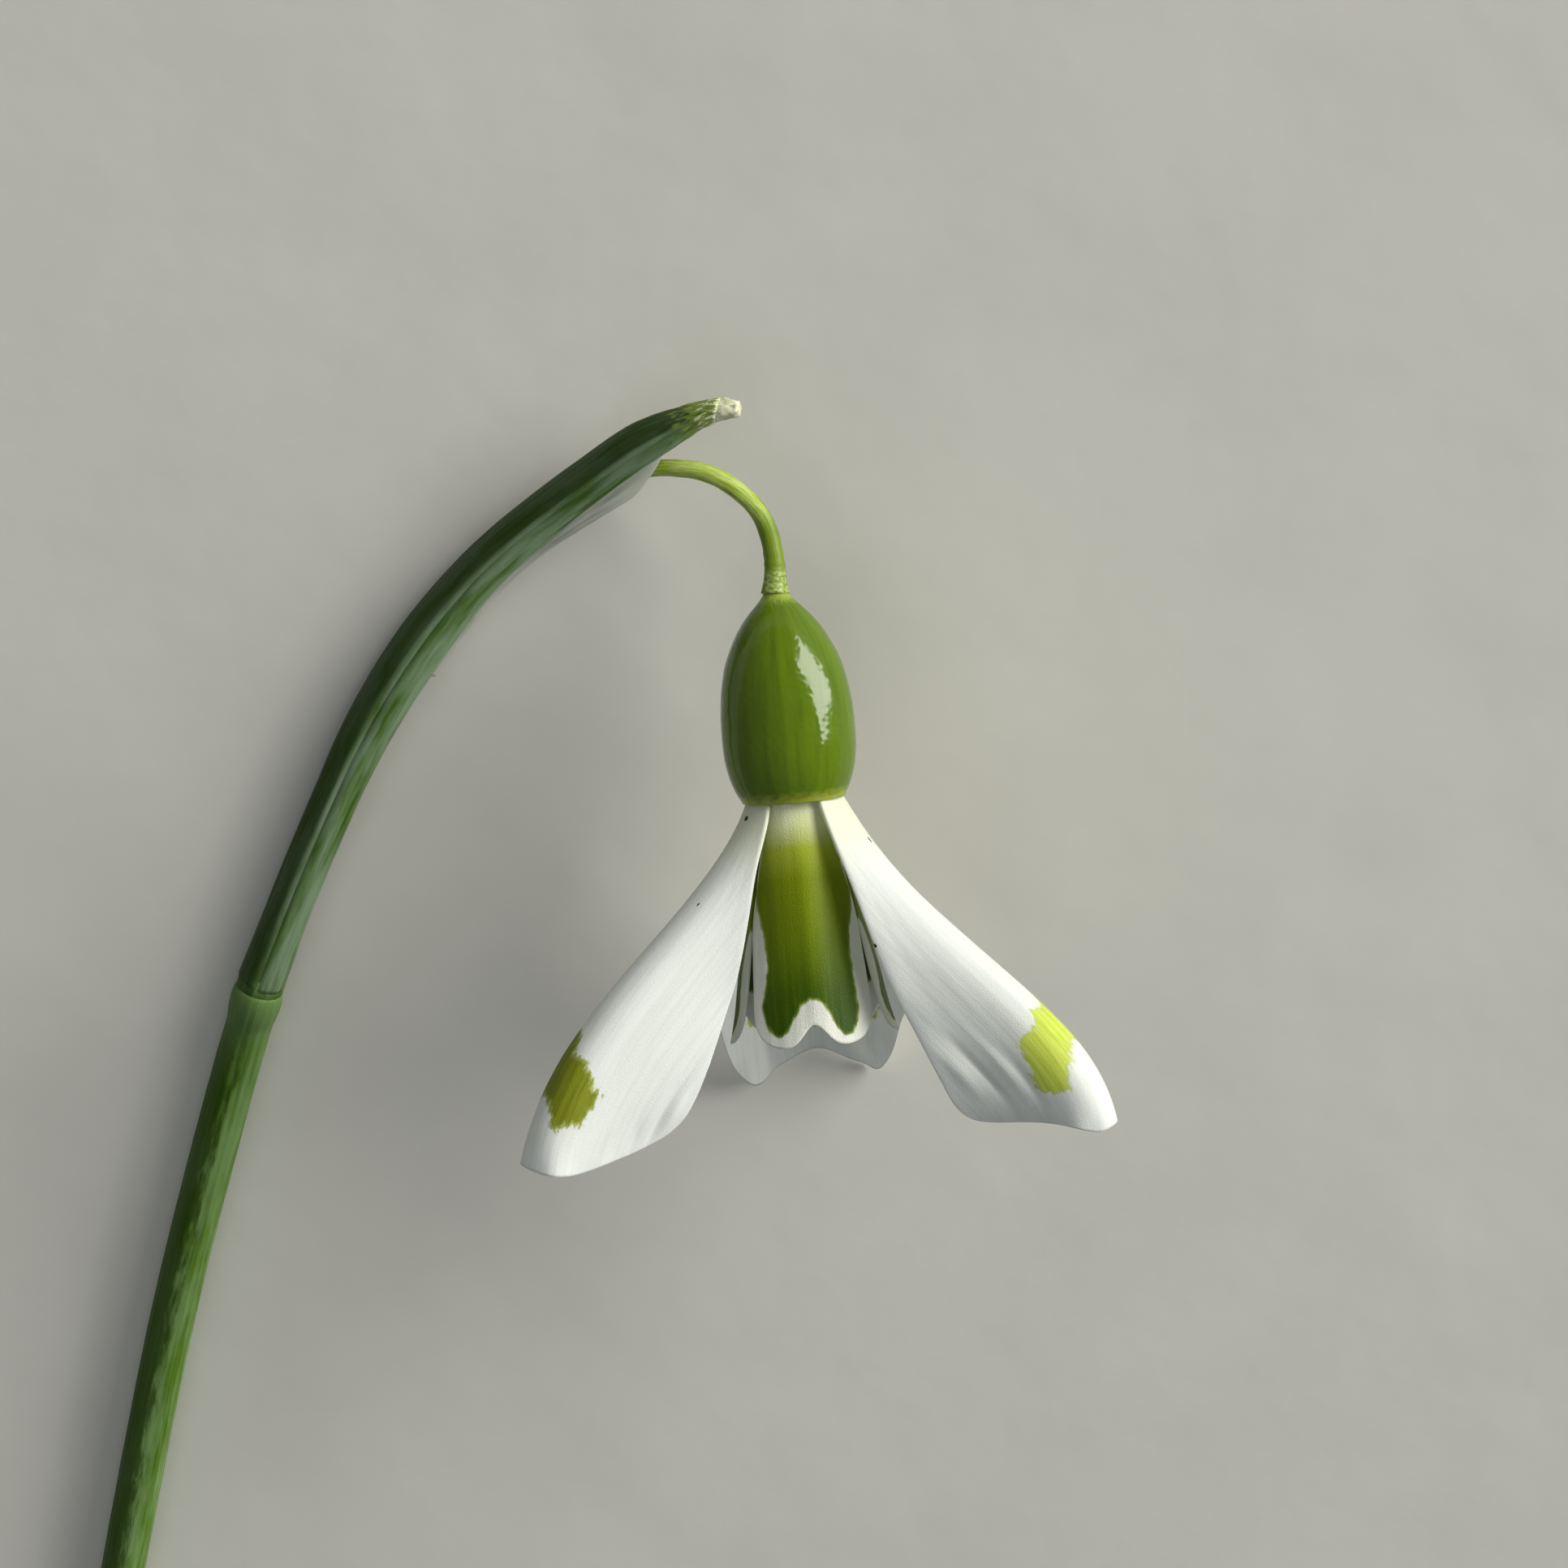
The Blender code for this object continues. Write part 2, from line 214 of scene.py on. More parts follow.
@dataclass(frozen=True)
class NodeType:
    """Blender's type of a node, the inputs that values fill in order, the output read, its settings."""

    blender: str
    order: tuple[int | str, ...] = (0, 1, 2, 3, 4)
    out: int | str = 0
    settings: tuple[tuple[str, str], ...] = ()


class Kind(Enum):
    """The shader nodes the finishes are made of.

    SPREAD takes a value, its low and high end, and the two numbers they become, which are 0 and 1
    where they aren't given. OVER takes a share, the colour under and the colour laid over it.
    """

    TISSUE = NodeType("ShaderNodeUVMap", settings=(("uv_map", TISSUE_MAP),))
    MARK = NodeType("ShaderNodeAttribute", out="Fac", settings=(("attribute_name", MARK_LAYER),))
    SPACE = NodeType("ShaderNodeTexCoord", out="Object")
    SEPARATE = NodeType("ShaderNodeSeparateXYZ")
    VECTOR = NodeType("ShaderNodeVectorMath")
    MATH = NodeType("ShaderNodeMath")
    NOISE = NodeType("ShaderNodeTexNoise", ("Vector", "Scale", "Detail", "Roughness"))
    SPREAD = NodeType("ShaderNodeMapRange", settings=(("interpolation_type", "SMOOTHSTEP"),))
    RAMP = NodeType("ShaderNodeValToRGB")
    OVER = NodeType("ShaderNodeMix", (0, 6, 7), 2, (("data_type", "RGBA"),))
    BUMP = NodeType("ShaderNodeBump", ("Height", "Distance", "Strength"))
    SURFACE = NodeType("ShaderNodeBsdfPrincipled")
    GLOW = NodeType("ShaderNodeBsdfTranslucent", ("Color", "Normal"))
    BLEND = NodeType("ShaderNodeMixShader")
    OUTPUT = NodeType("ShaderNodeOutputMaterial", ("Surface",))


class Graph:
    """The node graph of one finish."""

    def __init__(self, name: str) -> None:
        """Starts an empty graph in a new material.

        Args:
            name: the material's name.
        """
        self.material = bpy.data.materials.new(name)
        self.material.use_nodes = True
        self.tree = self.material.node_tree
        self.tree.nodes.clear()

    def add(self, kind: Kind, *values: object, out: int | str | None = None,
            inputs: dict[str, object] | None = None, stops: Sequence[tuple[float, Rgba]] = (),
            **settings: str) -> bpy.types.NodeSocket | None:
        """Adds a node with its settings and links.

        Args:
            kind: which node.
            values: sockets to link, or numbers and colours to set, for the kind's inputs in order.
            out: the output to return, where it isn't the kind's usual one.
            inputs: more values, by the input's name.
            stops: places and colours of a ramp.
            settings: the node's own properties.

        Returns:
            The output socket, or None for a node without outputs.
        """
        node = self.tree.nodes.new(kind.value.blender)
        for key, value in (*kind.value.settings, *settings.items()):
            setattr(node, key, value)
        for key, value in (*zip(kind.value.order, values), *(inputs or {}).items()):
            if isinstance(value, bpy.types.NodeSocket):
                self.tree.links.new(value, node.inputs[key])
            else:
                node.inputs[key].default_value = value
        for number, (place, colour) in enumerate(stops):
            elements = node.color_ramp.elements
            stop = elements[number] if number < len(elements) else elements.new(place)
            stop.position = place
            stop.color = colour
        if not node.outputs:
            return None
        return node.outputs[kind.value.out if out is None else out]

    def streaks(self, width: float, length: float, detail: float = 3.0) -> bpy.types.NodeSocket:
        """Noise drawn out along the tissue.

        Args:
            width: how wide a streak is, in mm.
            length: how long a streak is, in mm.
            detail: how much finer noise is laid over it.

        Returns:
            Its height, 0..1.
        """
        place = self.add(Kind.TISSUE)
        scaled = self.add(Kind.VECTOR, place, (1 / width, 1 / length, 1), operation="MULTIPLY")
        return self.add(Kind.NOISE, scaled, 1.0, detail, 0.6)

    def finish(self, colour: bpy.types.NodeSocket, relief: bpy.types.NodeSocket, depth: float,
               roughness: float, through: float = 0.0, coat: float = 0.0, coat_roughness: float = 0.1,
               gloss: float = 0.3) -> bpy.types.Material:
        """Joins colour and relief into the surface.

        Args:
            colour: the tissue's colour.
            relief: height 0..1 of the fine relief.
            depth: how deep that relief is, in mm.
            roughness: how matt the surface is.
            through: share of the light that the tissue lets through.
            coat: how much of a wet-looking cuticle lies over it.
            coat_roughness: how matt that cuticle is.
            gloss: strength of the tissue's own reflection.

        Returns:
            The finished material.
        """
        normal = self.add(Kind.BUMP, relief, depth * MM, 1.0)
        shader = self.add(Kind.SURFACE, inputs={
            "Base Color": colour, "Roughness": roughness, "Normal": normal, "Metallic": 0.0,
            "IOR": TISSUE_IOR, "Specular IOR Level": gloss,
            "Coat Weight": coat, "Coat Roughness": coat_roughness, "Coat IOR": CUTICLE_IOR,
        })
        if through > 0:
            glow = self.add(Kind.GLOW, colour, normal)
            shader = self.add(Kind.BLEND, through, shader, glow)
        self.add(Kind.OUTPUT, shader)
        return self.material


@dataclass(frozen=True)
class Speck:
    """A grain of dirt on a tepal: its place across and along the tissue and its half sizes, in mm."""

    u: float
    v: float
    wide: float
    long: float


@dataclass(frozen=True)
class TepalFinish:
    """White tepal tissue with a green mark whose ends run out along the veins.

    Air between its clear cells scatters the light, so it looks white and matt, and its thin wall
    lets a quarter of the light through.
    """

    name: str
    specks: tuple[Speck, ...]
    green: str
    green_streak: str
    white: str = "#EFF2ED"
    vein: str = "#E8ECE6"
    claw: str = "#E9EDCB"
    claw_length: float = 5.0
    green_edge: str = "#C9D286"
    dirt: str = "#2A2417"
    ragged: float = 0.2

    def material(self) -> bpy.types.Material:
        """Builds the finish.

        Returns:
            The material.
        """
        graph = Graph(self.name)
        tissue = graph.add(Kind.TISSUE)
        down = graph.add(Kind.SEPARATE, tissue, out="Y")
        # Faint greyish veins, 0.3 mm apart, run the length of the tissue.
        veins = graph.streaks(0.28, 9.0)
        lines = graph.add(Kind.SPREAD, veins, 0.42, 0.66)
        colour = graph.add(Kind.OVER, lines, linear(self.white), linear(self.vein))
        # The claw is tinted where the tissue thickens towards the ovary.
        tint = graph.add(Kind.SPREAD, down, 1.0, self.claw_length, 0.6, 0.0)
        colour = graph.add(Kind.OVER, tint, colour, linear(self.claw))
        # The mark's border is ragged along the veins and pale at its rim.
        rough = graph.add(Kind.SPREAD, graph.streaks(0.3, 0.9, 4.0), 0.3, 0.7, -self.ragged, self.ragged)
        reach = graph.add(Kind.MATH, graph.add(Kind.MARK), rough, operation="ADD")
        streaks = graph.add(Kind.SPREAD, graph.streaks(0.3, 5.0), 0.4, 0.65)
        streaked = graph.add(Kind.OVER, streaks, linear(self.green), linear(self.green_streak))
        rim = graph.add(Kind.SPREAD, reach, 0.05, 0.4, 0.6, 0.0)
        mark = graph.add(Kind.OVER, rim, streaked, linear(self.green_edge))
        colour = graph.add(Kind.OVER, graph.add(Kind.SPREAD, reach, -0.06, 0.14), colour, mark)
        for speck in self.specks:
            middle = (speck.u, speck.v, 0)
            shrink = (1 / speck.wide, 1 / speck.long, 0)
            away = graph.add(Kind.VECTOR, tissue, middle, operation="SUBTRACT")
            scaled = graph.add(Kind.VECTOR, away, shrink, operation="MULTIPLY")
            length = graph.add(Kind.VECTOR, scaled, out="Value", operation="LENGTH")
            cover = graph.add(Kind.SPREAD, length, 1.15, 0.85)
            colour = graph.add(Kind.OVER, cover, colour, linear(self.dirt))
        # Real cells are 0.03 mm wide, too fine to show, so they are drawn more than twice as coarse.
        cells = graph.streaks(0.07, 0.14, 2.0)
        soft = graph.add(Kind.MATH, veins, 0.45, operation="MULTIPLY")
        relief = graph.add(Kind.MATH, cells, 0.6, soft, operation="MULTIPLY_ADD")
        return graph.finish(colour, relief, 0.035, 0.5, through=0.25)


@dataclass(frozen=True)
class InnerFinish:
    """Inner tepal tissue: a green blaze, pale at the base and deep at its lobes, in a white margin. The
    deepening at the lobes is partly the blaze's own green and partly painted shade.

    The green lies in the veined middle of the tissue, which is thicker and lets less light through.
    """

    name: str
    white: str = "#E4E6DA"
    blaze: tuple[tuple[float, str], ...] = (
        (0.0, "#F2F5D8"), (0.1, "#E6EBB4"), (0.2, "#A9B638"), (0.33, "#7A8B0A"), (0.6, "#607406"),
        (0.8, "#3F5A02"), (1.0, "#304C02"),
    )
    blaze_length: float = 13.0
    vein: str = "#93A41C"
    # Colour of the painted highlight along the ridge, and its place across in mm.
    ridge_highlight: str = "#8FA01A"
    ridge_highlight_side: float = 0.3
    rim: str = "#93A63C"

    def material(self) -> bpy.types.Material:
        """Builds the finish.

        Returns:
            The material.
        """
        graph = Graph(self.name)
        tissue = graph.add(Kind.TISSUE)
        across = graph.add(Kind.SEPARATE, tissue, out="X")
        down = graph.add(Kind.SEPARATE, tissue, out="Y")
        veins = graph.streaks(0.3, 8.0)
        # The blaze deepens towards its lobes: partly its own green, partly painted shade at the flared
        # end.
        place = graph.add(Kind.MATH, down, self.blaze_length, operation="DIVIDE")
        stops = [(at, linear(code)) for at, code in self.blaze]
        green = graph.add(Kind.RAMP, place, stops=stops)
        # Paler yellow veins run down the blaze. Lower down, a pale stripe beside its middle, over the
        # raised ridge, is a painted highlight.
        pale = graph.add(Kind.SPREAD, veins, 0.45, 0.75, 0.0, 0.12)
        green = graph.add(Kind.OVER, pale, green, linear(self.vein))
        aside = graph.add(Kind.MATH, across, self.ridge_highlight_side, operation="SUBTRACT")
        aside = graph.add(Kind.MATH, aside, operation="ABSOLUTE")
        near = graph.add(Kind.SPREAD, aside, 0.1, 0.8, 0.3, 0.0)
        lower = graph.add(Kind.SPREAD, down, 6.0, 11.0, 1.0, 0.1)
        ridge_highlight = graph.add(Kind.MATH, near, lower, operation="MULTIPLY")
        green = graph.add(Kind.OVER, ridge_highlight, green, linear(self.ridge_highlight))
        rough = graph.add(Kind.SPREAD, graph.streaks(0.5, 1.2), 0.3, 0.7, -0.06, 0.06)
        reach = graph.add(Kind.MATH, graph.add(Kind.MARK), rough, operation="ADD")
        edge = graph.add(Kind.SPREAD, reach, 0.0, 0.2, 0.7, 0.0)
        rimmed = graph.add(Kind.OVER, edge, green, linear(self.rim))
        inner = graph.add(Kind.SPREAD, reach, -0.07, 0.07)
        colour = graph.add(Kind.OVER, inner, linear(self.white), rimmed)
        # Real cells are 0.03 mm wide, too fine to show, so they are drawn three times as coarse.
        cells = graph.streaks(0.09, 0.12, 2.0)
        soft = graph.add(Kind.MATH, veins, 0.4, operation="MULTIPLY")
        relief = graph.add(Kind.MATH, cells, 0.7, soft, operation="MULTIPLY_ADD")
        return graph.finish(colour, relief, 0.05, 0.4, through=0.12, gloss=0.2)


@dataclass(frozen=True)
class GreenFinish:
    """Green tissue: long streaks of two greens, with a waxy bloom that has rubbed off in patches.

    The wax makes the green bluish and dull where it is left. Streak and patch are (width, length)
    in mm: the streaks are the bundles of veins under the skin.
    """

    name: str
    deep: str
    light: str
    bloom: str
    bloom_share: float
    streak: Pair
    depth: float
    roughness: float
    length: float
    coat: float = 0.0
    coat_roughness: float = 0.15
    through: float = 0.0
    patch: Pair = (0.9, 6.0)
    gloss: float = 0.15

    def colour(self, graph: Graph) -> bpy.types.NodeSocket:
        """The streaked and bloomed colour.

        Args:
            graph: where its nodes go.

        Returns:
            The colour.
        """
        streaks = graph.add(Kind.SPREAD, graph.streaks(*self.streak), 0.32, 0.68)
        colour = graph.add(Kind.OVER, streaks, linear(self.deep), linear(self.light))
        bloom = graph.add(Kind.SPREAD, graph.streaks(*self.patch), 0.35, 0.62, 0.0, self.bloom_share)
        return graph.add(Kind.OVER, bloom, colour, linear(self.bloom))

    def relief(self, graph: Graph) -> bpy.types.NodeSocket:
        """Ridges along the tissue, half as wide as its streaks, under a fine grain of cells.

        Args:
            graph: where its nodes go.

        Returns:
            The height, 0..1.
        """
        ridges = graph.streaks(self.streak[0] * 0.45, self.streak[1])
        cells = graph.streaks(0.06, 0.09, 2.0)
        return graph.add(Kind.MATH, cells, 0.4, ridges, operation="MULTIPLY_ADD")

    def material(self) -> bpy.types.Material:
        """Builds the finish.

        Returns:
            The material.
        """
        graph = Graph(self.name)
        return graph.finish(self.colour(graph), self.relief(graph), self.depth, self.roughness,
                            self.through, self.coat, self.coat_roughness, self.gloss)


@dataclass(frozen=True)
class SpatheFinish(GreenFinish):
    """Spathe tissue: glaucous green with painted shade over its side away from the light, yellowing and
    drying to cream at the tip.
    """

    painted_shade: str = "#253A0C"
    keel: str = "#9DB283"
    yellowed: str = "#93A845"
    dried: str = "#E6E8CC"

    def colour(self, graph: Graph) -> bpy.types.NodeSocket:
        """The bloomed green, with painted shade from beside the keel over the side away from the light,
        and its dry tip.

        Args:
            graph: where its nodes go.

        Returns:
            The colour.
        """
        colour = GreenFinish.colour(self, graph)
        tissue = graph.add(Kind.TISSUE)
        across = graph.add(Kind.SEPARATE, tissue, out="X")
        down = graph.add(Kind.SEPARATE, tissue, out="Y")
        # Painted shade: from just past the keel, the outer side and the underside, away from the window,
        # are darkened.
        painted_shade = graph.add(Kind.MATH, graph.add(Kind.SPREAD, across, 0.15, 0.5), 0.8, operation="MULTIPLY")
        colour = graph.add(Kind.OVER, painted_shade, colour, linear(self.painted_shade))
        # A thin pale line runs along the keel.
        aside = graph.add(Kind.MATH, across, operation="ABSOLUTE")
        line = graph.add(Kind.SPREAD, aside, 0.05, 0.13, 0.55, 0.0)
        colour = graph.add(Kind.OVER, line, colour, linear(self.keel))
        ragged = graph.add(Kind.SPREAD, graph.streaks(0.25, 0.7), 0.3, 0.7, -1.2, 1.2)
        place = graph.add(Kind.MATH, down, ragged, operation="ADD")
        place = graph.add(Kind.MATH, place, self.length, operation="DIVIDE")
        yellowed = graph.add(Kind.SPREAD, place, 0.93, 0.958, 0.0, 0.8)
        colour = graph.add(Kind.OVER, yellowed, colour, linear(self.yellowed))
        dried = graph.add(Kind.SPREAD, place, 0.968, 0.982)
        return graph.add(Kind.OVER, dried, colour, linear(self.dried))


@dataclass(frozen=True)
class ScapeFinish(GreenFinish):
    """Stem tissue: fresh green, with painted shade along its upper left side, away from the light, and
    more bloom near the node.
    """

    # The green of the painted shade on the side away from the light.
    shade: str = "#2C4704"
    dusty: str = "#6F8C55"
    cut: str = "#C9D3A0"

    def colour(self, graph: Graph) -> bpy.types.NodeSocket:
        """The streaked green, with painted shade along its upper left side, bloom near the node and a
        pale cut face.

        Args:
            graph: where its nodes go.

        Returns:
            The colour.
        """
        colour = GreenFinish.colour(self, graph)
        tissue = graph.add(Kind.TISSUE)
        across = graph.add(Kind.SEPARATE, tissue, out="X")
        down = graph.add(Kind.SEPARATE, tissue, out="Y")
        # Painted shade: the upper left side, which faces away from the window, is darkened with the shade
        # green.
        ragged = graph.add(Kind.SPREAD, graph.streaks(0.5, 2.5, 4.0), 0.3, 0.7, -0.5, 0.5)
        around = graph.add(Kind.MATH, across, ragged, operation="ADD")
        painted_shade_share = graph.add(Kind.SPREAD, around, 2.0, 2.9, 0.0, 0.8)
        colour = graph.add(Kind.OVER, painted_shade_share, colour, linear(self.shade))
        near_node = graph.add(Kind.SPREAD, down, self.length - 7.0, self.length - 1.0, 0.0, 0.55)
        colour = graph.add(Kind.OVER, near_node, colour, linear(self.dusty))
        return graph.add(Kind.OVER, graph.add(Kind.SPREAD, down, 0.25, 0.05), colour, linear(self.cut))


@dataclass(frozen=True)
class OvaryFinish(GreenFinish):
    """Ovary skin under a glossy cuticle, yellow-green at the rim over the tepals and at the collar."""

    rim: str = "#A3A83A"
    collar: str = "#A9BC52"

    def colour(self, graph: Graph) -> bpy.types.NodeSocket:
        """The streaked green with its paler rim and collar.

        Args:
            graph: where its nodes go.

        Returns:
            The colour.
        """
        colour = GreenFinish.colour(self, graph)
        down = graph.add(Kind.SEPARATE, graph.add(Kind.TISSUE), out="Y")
        mottled = graph.add(Kind.SPREAD, graph.streaks(0.5, 0.3), 0.35, 0.65, -0.12, 0.12)
        place = graph.add(Kind.MATH, down, mottled, operation="ADD")
        rim = graph.add(Kind.SPREAD, place, self.length * 0.9, self.length * 0.955, 0.0, 0.7)
        colour = graph.add(Kind.OVER, rim, colour, linear(self.rim))
        collar = graph.add(Kind.SPREAD, place, 1.5, 0.6, 0.0, 0.6)
        return graph.add(Kind.OVER, collar, colour, linear(self.collar))


@dataclass(frozen=True)
class PedicelFinish(GreenFinish):
    """Flower stalk tissue: yellow-green on its bend, deeper green below it and pale at its collar."""

    lower: str = "#6A8412"
    collar: str = "#C2D184"

    def colour(self, graph: Graph) -> bpy.types.NodeSocket:
        """The streaked green with its deeper lower part and its pale collar.

        Args:
            graph: where its nodes go.

        Returns:
            The colour.
        """
        colour = GreenFinish.colour(self, graph)
        down = graph.add(Kind.SEPARATE, graph.add(Kind.TISSUE), out="Y")
        lower = graph.add(Kind.SPREAD, down, self.length - 5.2, self.length - 3.4, 0.0, 0.85)
        colour = graph.add(Kind.OVER, lower, colour, linear(self.lower))
        mottled = graph.add(Kind.SPREAD, graph.streaks(0.3, 0.16), 0.42, 0.58)
        collar = graph.add(Kind.SPREAD, down, self.length - 1.6, self.length - 0.9, 0.0, 0.7)
        collar = graph.add(Kind.MATH, collar, mottled, operation="MULTIPLY")
        return graph.add(Kind.OVER, collar, colour, linear(self.collar))


@dataclass(frozen=True)
class SkinFinish:
    """Papery skin, two cells thick: it lets half the light through and is lined by its veins."""

    name: str
    length: float
    pale: str = "#F6F7F0"
    line: str = "#D2D8C4"
    mouth: str = "#FBFDF4"

    def material(self) -> bpy.types.Material:
        """Builds the finish.

        Returns:
            The material.
        """
        graph = Graph(self.name)
        lines = graph.streaks(0.16, 6.0)
        down = graph.add(Kind.SEPARATE, graph.add(Kind.TISSUE), out="Y")
        lined = graph.add(Kind.SPREAD, lines, 0.4, 0.65)
        colour = graph.add(Kind.OVER, lined, linear(self.pale), linear(self.line))
        # It turns paler where it opens at its mouth.
        near_mouth = graph.add(Kind.SPREAD, down, self.length * 0.8, self.length)
        colour = graph.add(Kind.OVER, near_mouth, colour, linear(self.mouth))
        return graph.finish(colour, lines, 0.05, 0.4, through=0.5)


@dataclass(frozen=True)
class GrainFinish:
    """Tissue of two tones in fine grain: the dry tip, the powdery anthers and the style."""

    name: str
    tone: str
    other: str
    streak: Pair
    depth: float
    roughness: float = 0.6
    through: float = 0.15

    def material(self) -> bpy.types.Material:
        """Builds the finish.

        Returns:
            The material.
        """
        graph = Graph(self.name)
        streaks = graph.streaks(*self.streak)
        share = graph.add(Kind.SPREAD, streaks, 0.35, 0.65)
        colour = graph.add(Kind.OVER, share, linear(self.tone), linear(self.other))
        return graph.finish(colour, streaks, self.depth, self.roughness, self.through)


@dataclass(frozen=True)
class SurfaceFinish:
    """Pale matt paint with a soft unevenness. Mottle is the size of its patches in metres."""

    name: str
    pale: str
    shade: str
    mottle: float = 0.012

    def material(self) -> bpy.types.Material:
        """Builds the finish in the surface's own space.

        Returns:
            The material.
        """
        graph = Graph(self.name)
        patches = graph.add(Kind.NOISE, graph.add(Kind.SPACE), 1 / self.mottle, 4.0)
        share = graph.add(Kind.SPREAD, patches, 0.3, 0.7)
        colour = graph.add(Kind.OVER, share, linear(self.pale), linear(self.shade))
        return graph.finish(colour, patches, 0.12, 0.8)


@dataclass(frozen=True)
class Tissue:
    """A piece bent from a grid: place and chart take across -1..1 and down 0..1.

    Mark is the outline of its coloured mark on the chart. Wall is its thickness in mm, which thins
    to the share that margin gives along its edges.
    """

    name: str
    columns: int
    rows: int
    place: Place
    chart: Chart
    closed: bool = False
    mark: Sequence[Pair] = ()
    wall: float = 0.0
    margin: float = 1.0
    thinning: float = 0.28

    def grow(self, turn: Matrix, finish: bpy.types.Material) -> bpy.types.Object:
        """Makes the piece.

        Args:
            turn: takes the piece's own millimetres to the row frame's.
            finish: its material.

        Returns:
            The object, at the origin and unscaled.
        """
        grid = bmesh.new()
        chart = grid.loops.layers.uv.new(TISSUE_MAP)
        bmesh.ops.create_grid(grid, x_segments=self.columns, y_segments=self.rows, size=1)
        marked = grid.verts.layers.float.new(MARK_LAYER)
        body = grid.verts.layers.deform.new()
        for corner in grid.verts:
            across, down = corner.co.x, (corner.co.y + 1) / 2
            place = self.chart(across, down)
            for loop in corner.link_loops:
                loop[chart].uv = place
            if self.mark:
                corner[marked] = inside(self.mark, *place)
            outwards = max(0.0, (max(abs(across), down) - 1) / self.thinning + 1)
            corner[body][0] = 1 - (1 - self.margin) * outwards**1.5
            corner.co = (turn @ self.place(across, down)) * MM
        if self.closed:
            bmesh.ops.remove_doubles(grid, verts=grid.verts, dist=0.0005 * MM)
        bmesh.ops.recalc_face_normals(grid, faces=grid.faces)
        mesh = bpy.data.meshes.new(self.name)
        grid.to_mesh(mesh)
        grid.free()
        mesh.shade_smooth()
        mesh.materials.append(finish)
        made = bpy.data.objects.new(self.name, mesh)
        made.vertex_groups.new(name=WALL_GROUP)
        bpy.context.scene.collection.objects.link(made)
        if self.wall:
            shell = made.modifiers.new("wall", "SOLIDIFY")
            shell.thickness = self.wall * MM
            shell.offset = 0
            shell.vertex_group = WALL_GROUP
            shell.thickness_vertex_group = 0.0
        LOG.info("%s: %d corners", self.name, len(mesh.vertices))
        return made


def joined(made: bpy.types.Object, slot: str, *nodes: str) -> None:
    """Puts a piece on the root body, in place of the CAD nodes it stands for.

    Args:
        made: the piece.
        slot: not used.
        nodes: the CAD nodes it replaces.
    """
    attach(made, "root")
    if nodes:
        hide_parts(*nodes)


@dataclass(frozen=True)
class Route:
    """A curved line with a sideways and an upward direction at each place 0..1 along it."""

    knots: Sequence[tuple[float, Vector]]

    def frame(self, at: float) -> tuple[Vector, Vector, Vector]:
        """The line's own directions at a place.

        Args:
            at: the place, 0..1.

        Returns:
            The point on the line, the direction to its right and the direction up from it.
        """
        step = 0.004
        ahead = along(self.knots, min(at + step, 1)) - along(self.knots, max(at - step, 0))
        up = Vector((0, 0, 1))
        up = (up - up.project(ahead)).normalized()
        return along(self.knots, at), ahead.normalized().cross(up), up

    def length(self) -> float:
        """Length of the line in mm."""
        points = [along(self.knots, step / 100) for step in range(101)]
        return sum((b - a).length for a, b in zip(points, points[1:]))


@dataclass(frozen=True)
class Rod:
    """A closed round piece along a route: rings are (place 0..1, radius in mm), from end to end.

    Relief takes an angle and a place 0..1 and gives a height in mm.
    """

    name: str
    route: Route
    rings: Sequence[Pair]
    columns: int
    relief: Relief

    def grow(self, turn: Matrix, finish: bpy.types.Material) -> bpy.types.Object:
        """Makes the rod, its ends closed to a point.

        Args:
            turn: takes the rod's own millimetres to the row frame's.
            finish: its material.

        Returns:
            The object, at the origin and unscaled.
        """
        rows = len(self.rings) - 1
        length = self.route.length()
        widest = max(radius for _, radius in self.rings)

        def ring(down: float) -> Pair:
            """Place and radius of the ring there."""
            return self.rings[round(down * rows)]

        def place(across: float, down: float) -> Vector:
            """A point on the rod.

            Args:
                across: -1..1 round it.
                down: 0..1 along its rings.

            Returns:
                The point, in mm.
            """
            at, radius = ring(down)
            angle = across * math.pi
            middle, side, up = self.route.frame(at)
            if radius > 0:
                radius += self.relief(angle, at)
            return middle + (side * math.cos(angle) + up * math.sin(angle)) * radius

        def chart(across: float, down: float) -> Pair:
            """Millimetres round and along the rod, with its first cap mapped onto a thin rim."""
            at, radius = ring(down)
            return across * math.pi * widest, at * length + (widest - radius if at == 0 else 0.0) * 0.01

        return Tissue(self.name, self.columns, rows, place, chart, closed=True).grow(turn, finish)


def fit_offset() -> Vector:
    """Finds the modelling origin by laying the ovary's own box on the CAD ovary's.

    Returns:
        Its place in the row frame, in mm.
    """
    points = []
    for step in range(61):
        height, radius = profile_at(step / 60)
        for turn in range(64):
            angle = math.tau * turn / 64
            around = Vector((radius * math.cos(angle), radius * math.sin(angle), height))
            points.append(HEAD_FRAME @ around)
    low = Vector(min(p[axis] for p in points) for axis in range(3))
    high = Vector(max(p[axis] for p in points) for axis in range(3))
    box_low, box_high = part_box("ovary")
    return (box_low + box_high) / 2 / MM - (low + high) / 2


OVARY_PROFILE = as_knots([
    (11.72, 0.58), (11.2, 0.88), (10.3, 1.72), (9.4, 2.38), (8.3, 2.95), (7.1, 3.36),
    (5.6, 3.62), (4.0, 3.71), (2.7, 3.68), (1.6, 3.5), (0.7, 3.2), (0.0, 2.85),
])


def profile_at(at: float) -> Pair:
    """Height and radius of the ovary's side, in mm, at 0 (top) to 1 (base)."""
    point = along(OVARY_PROFILE, at)
    return point.x, point.y


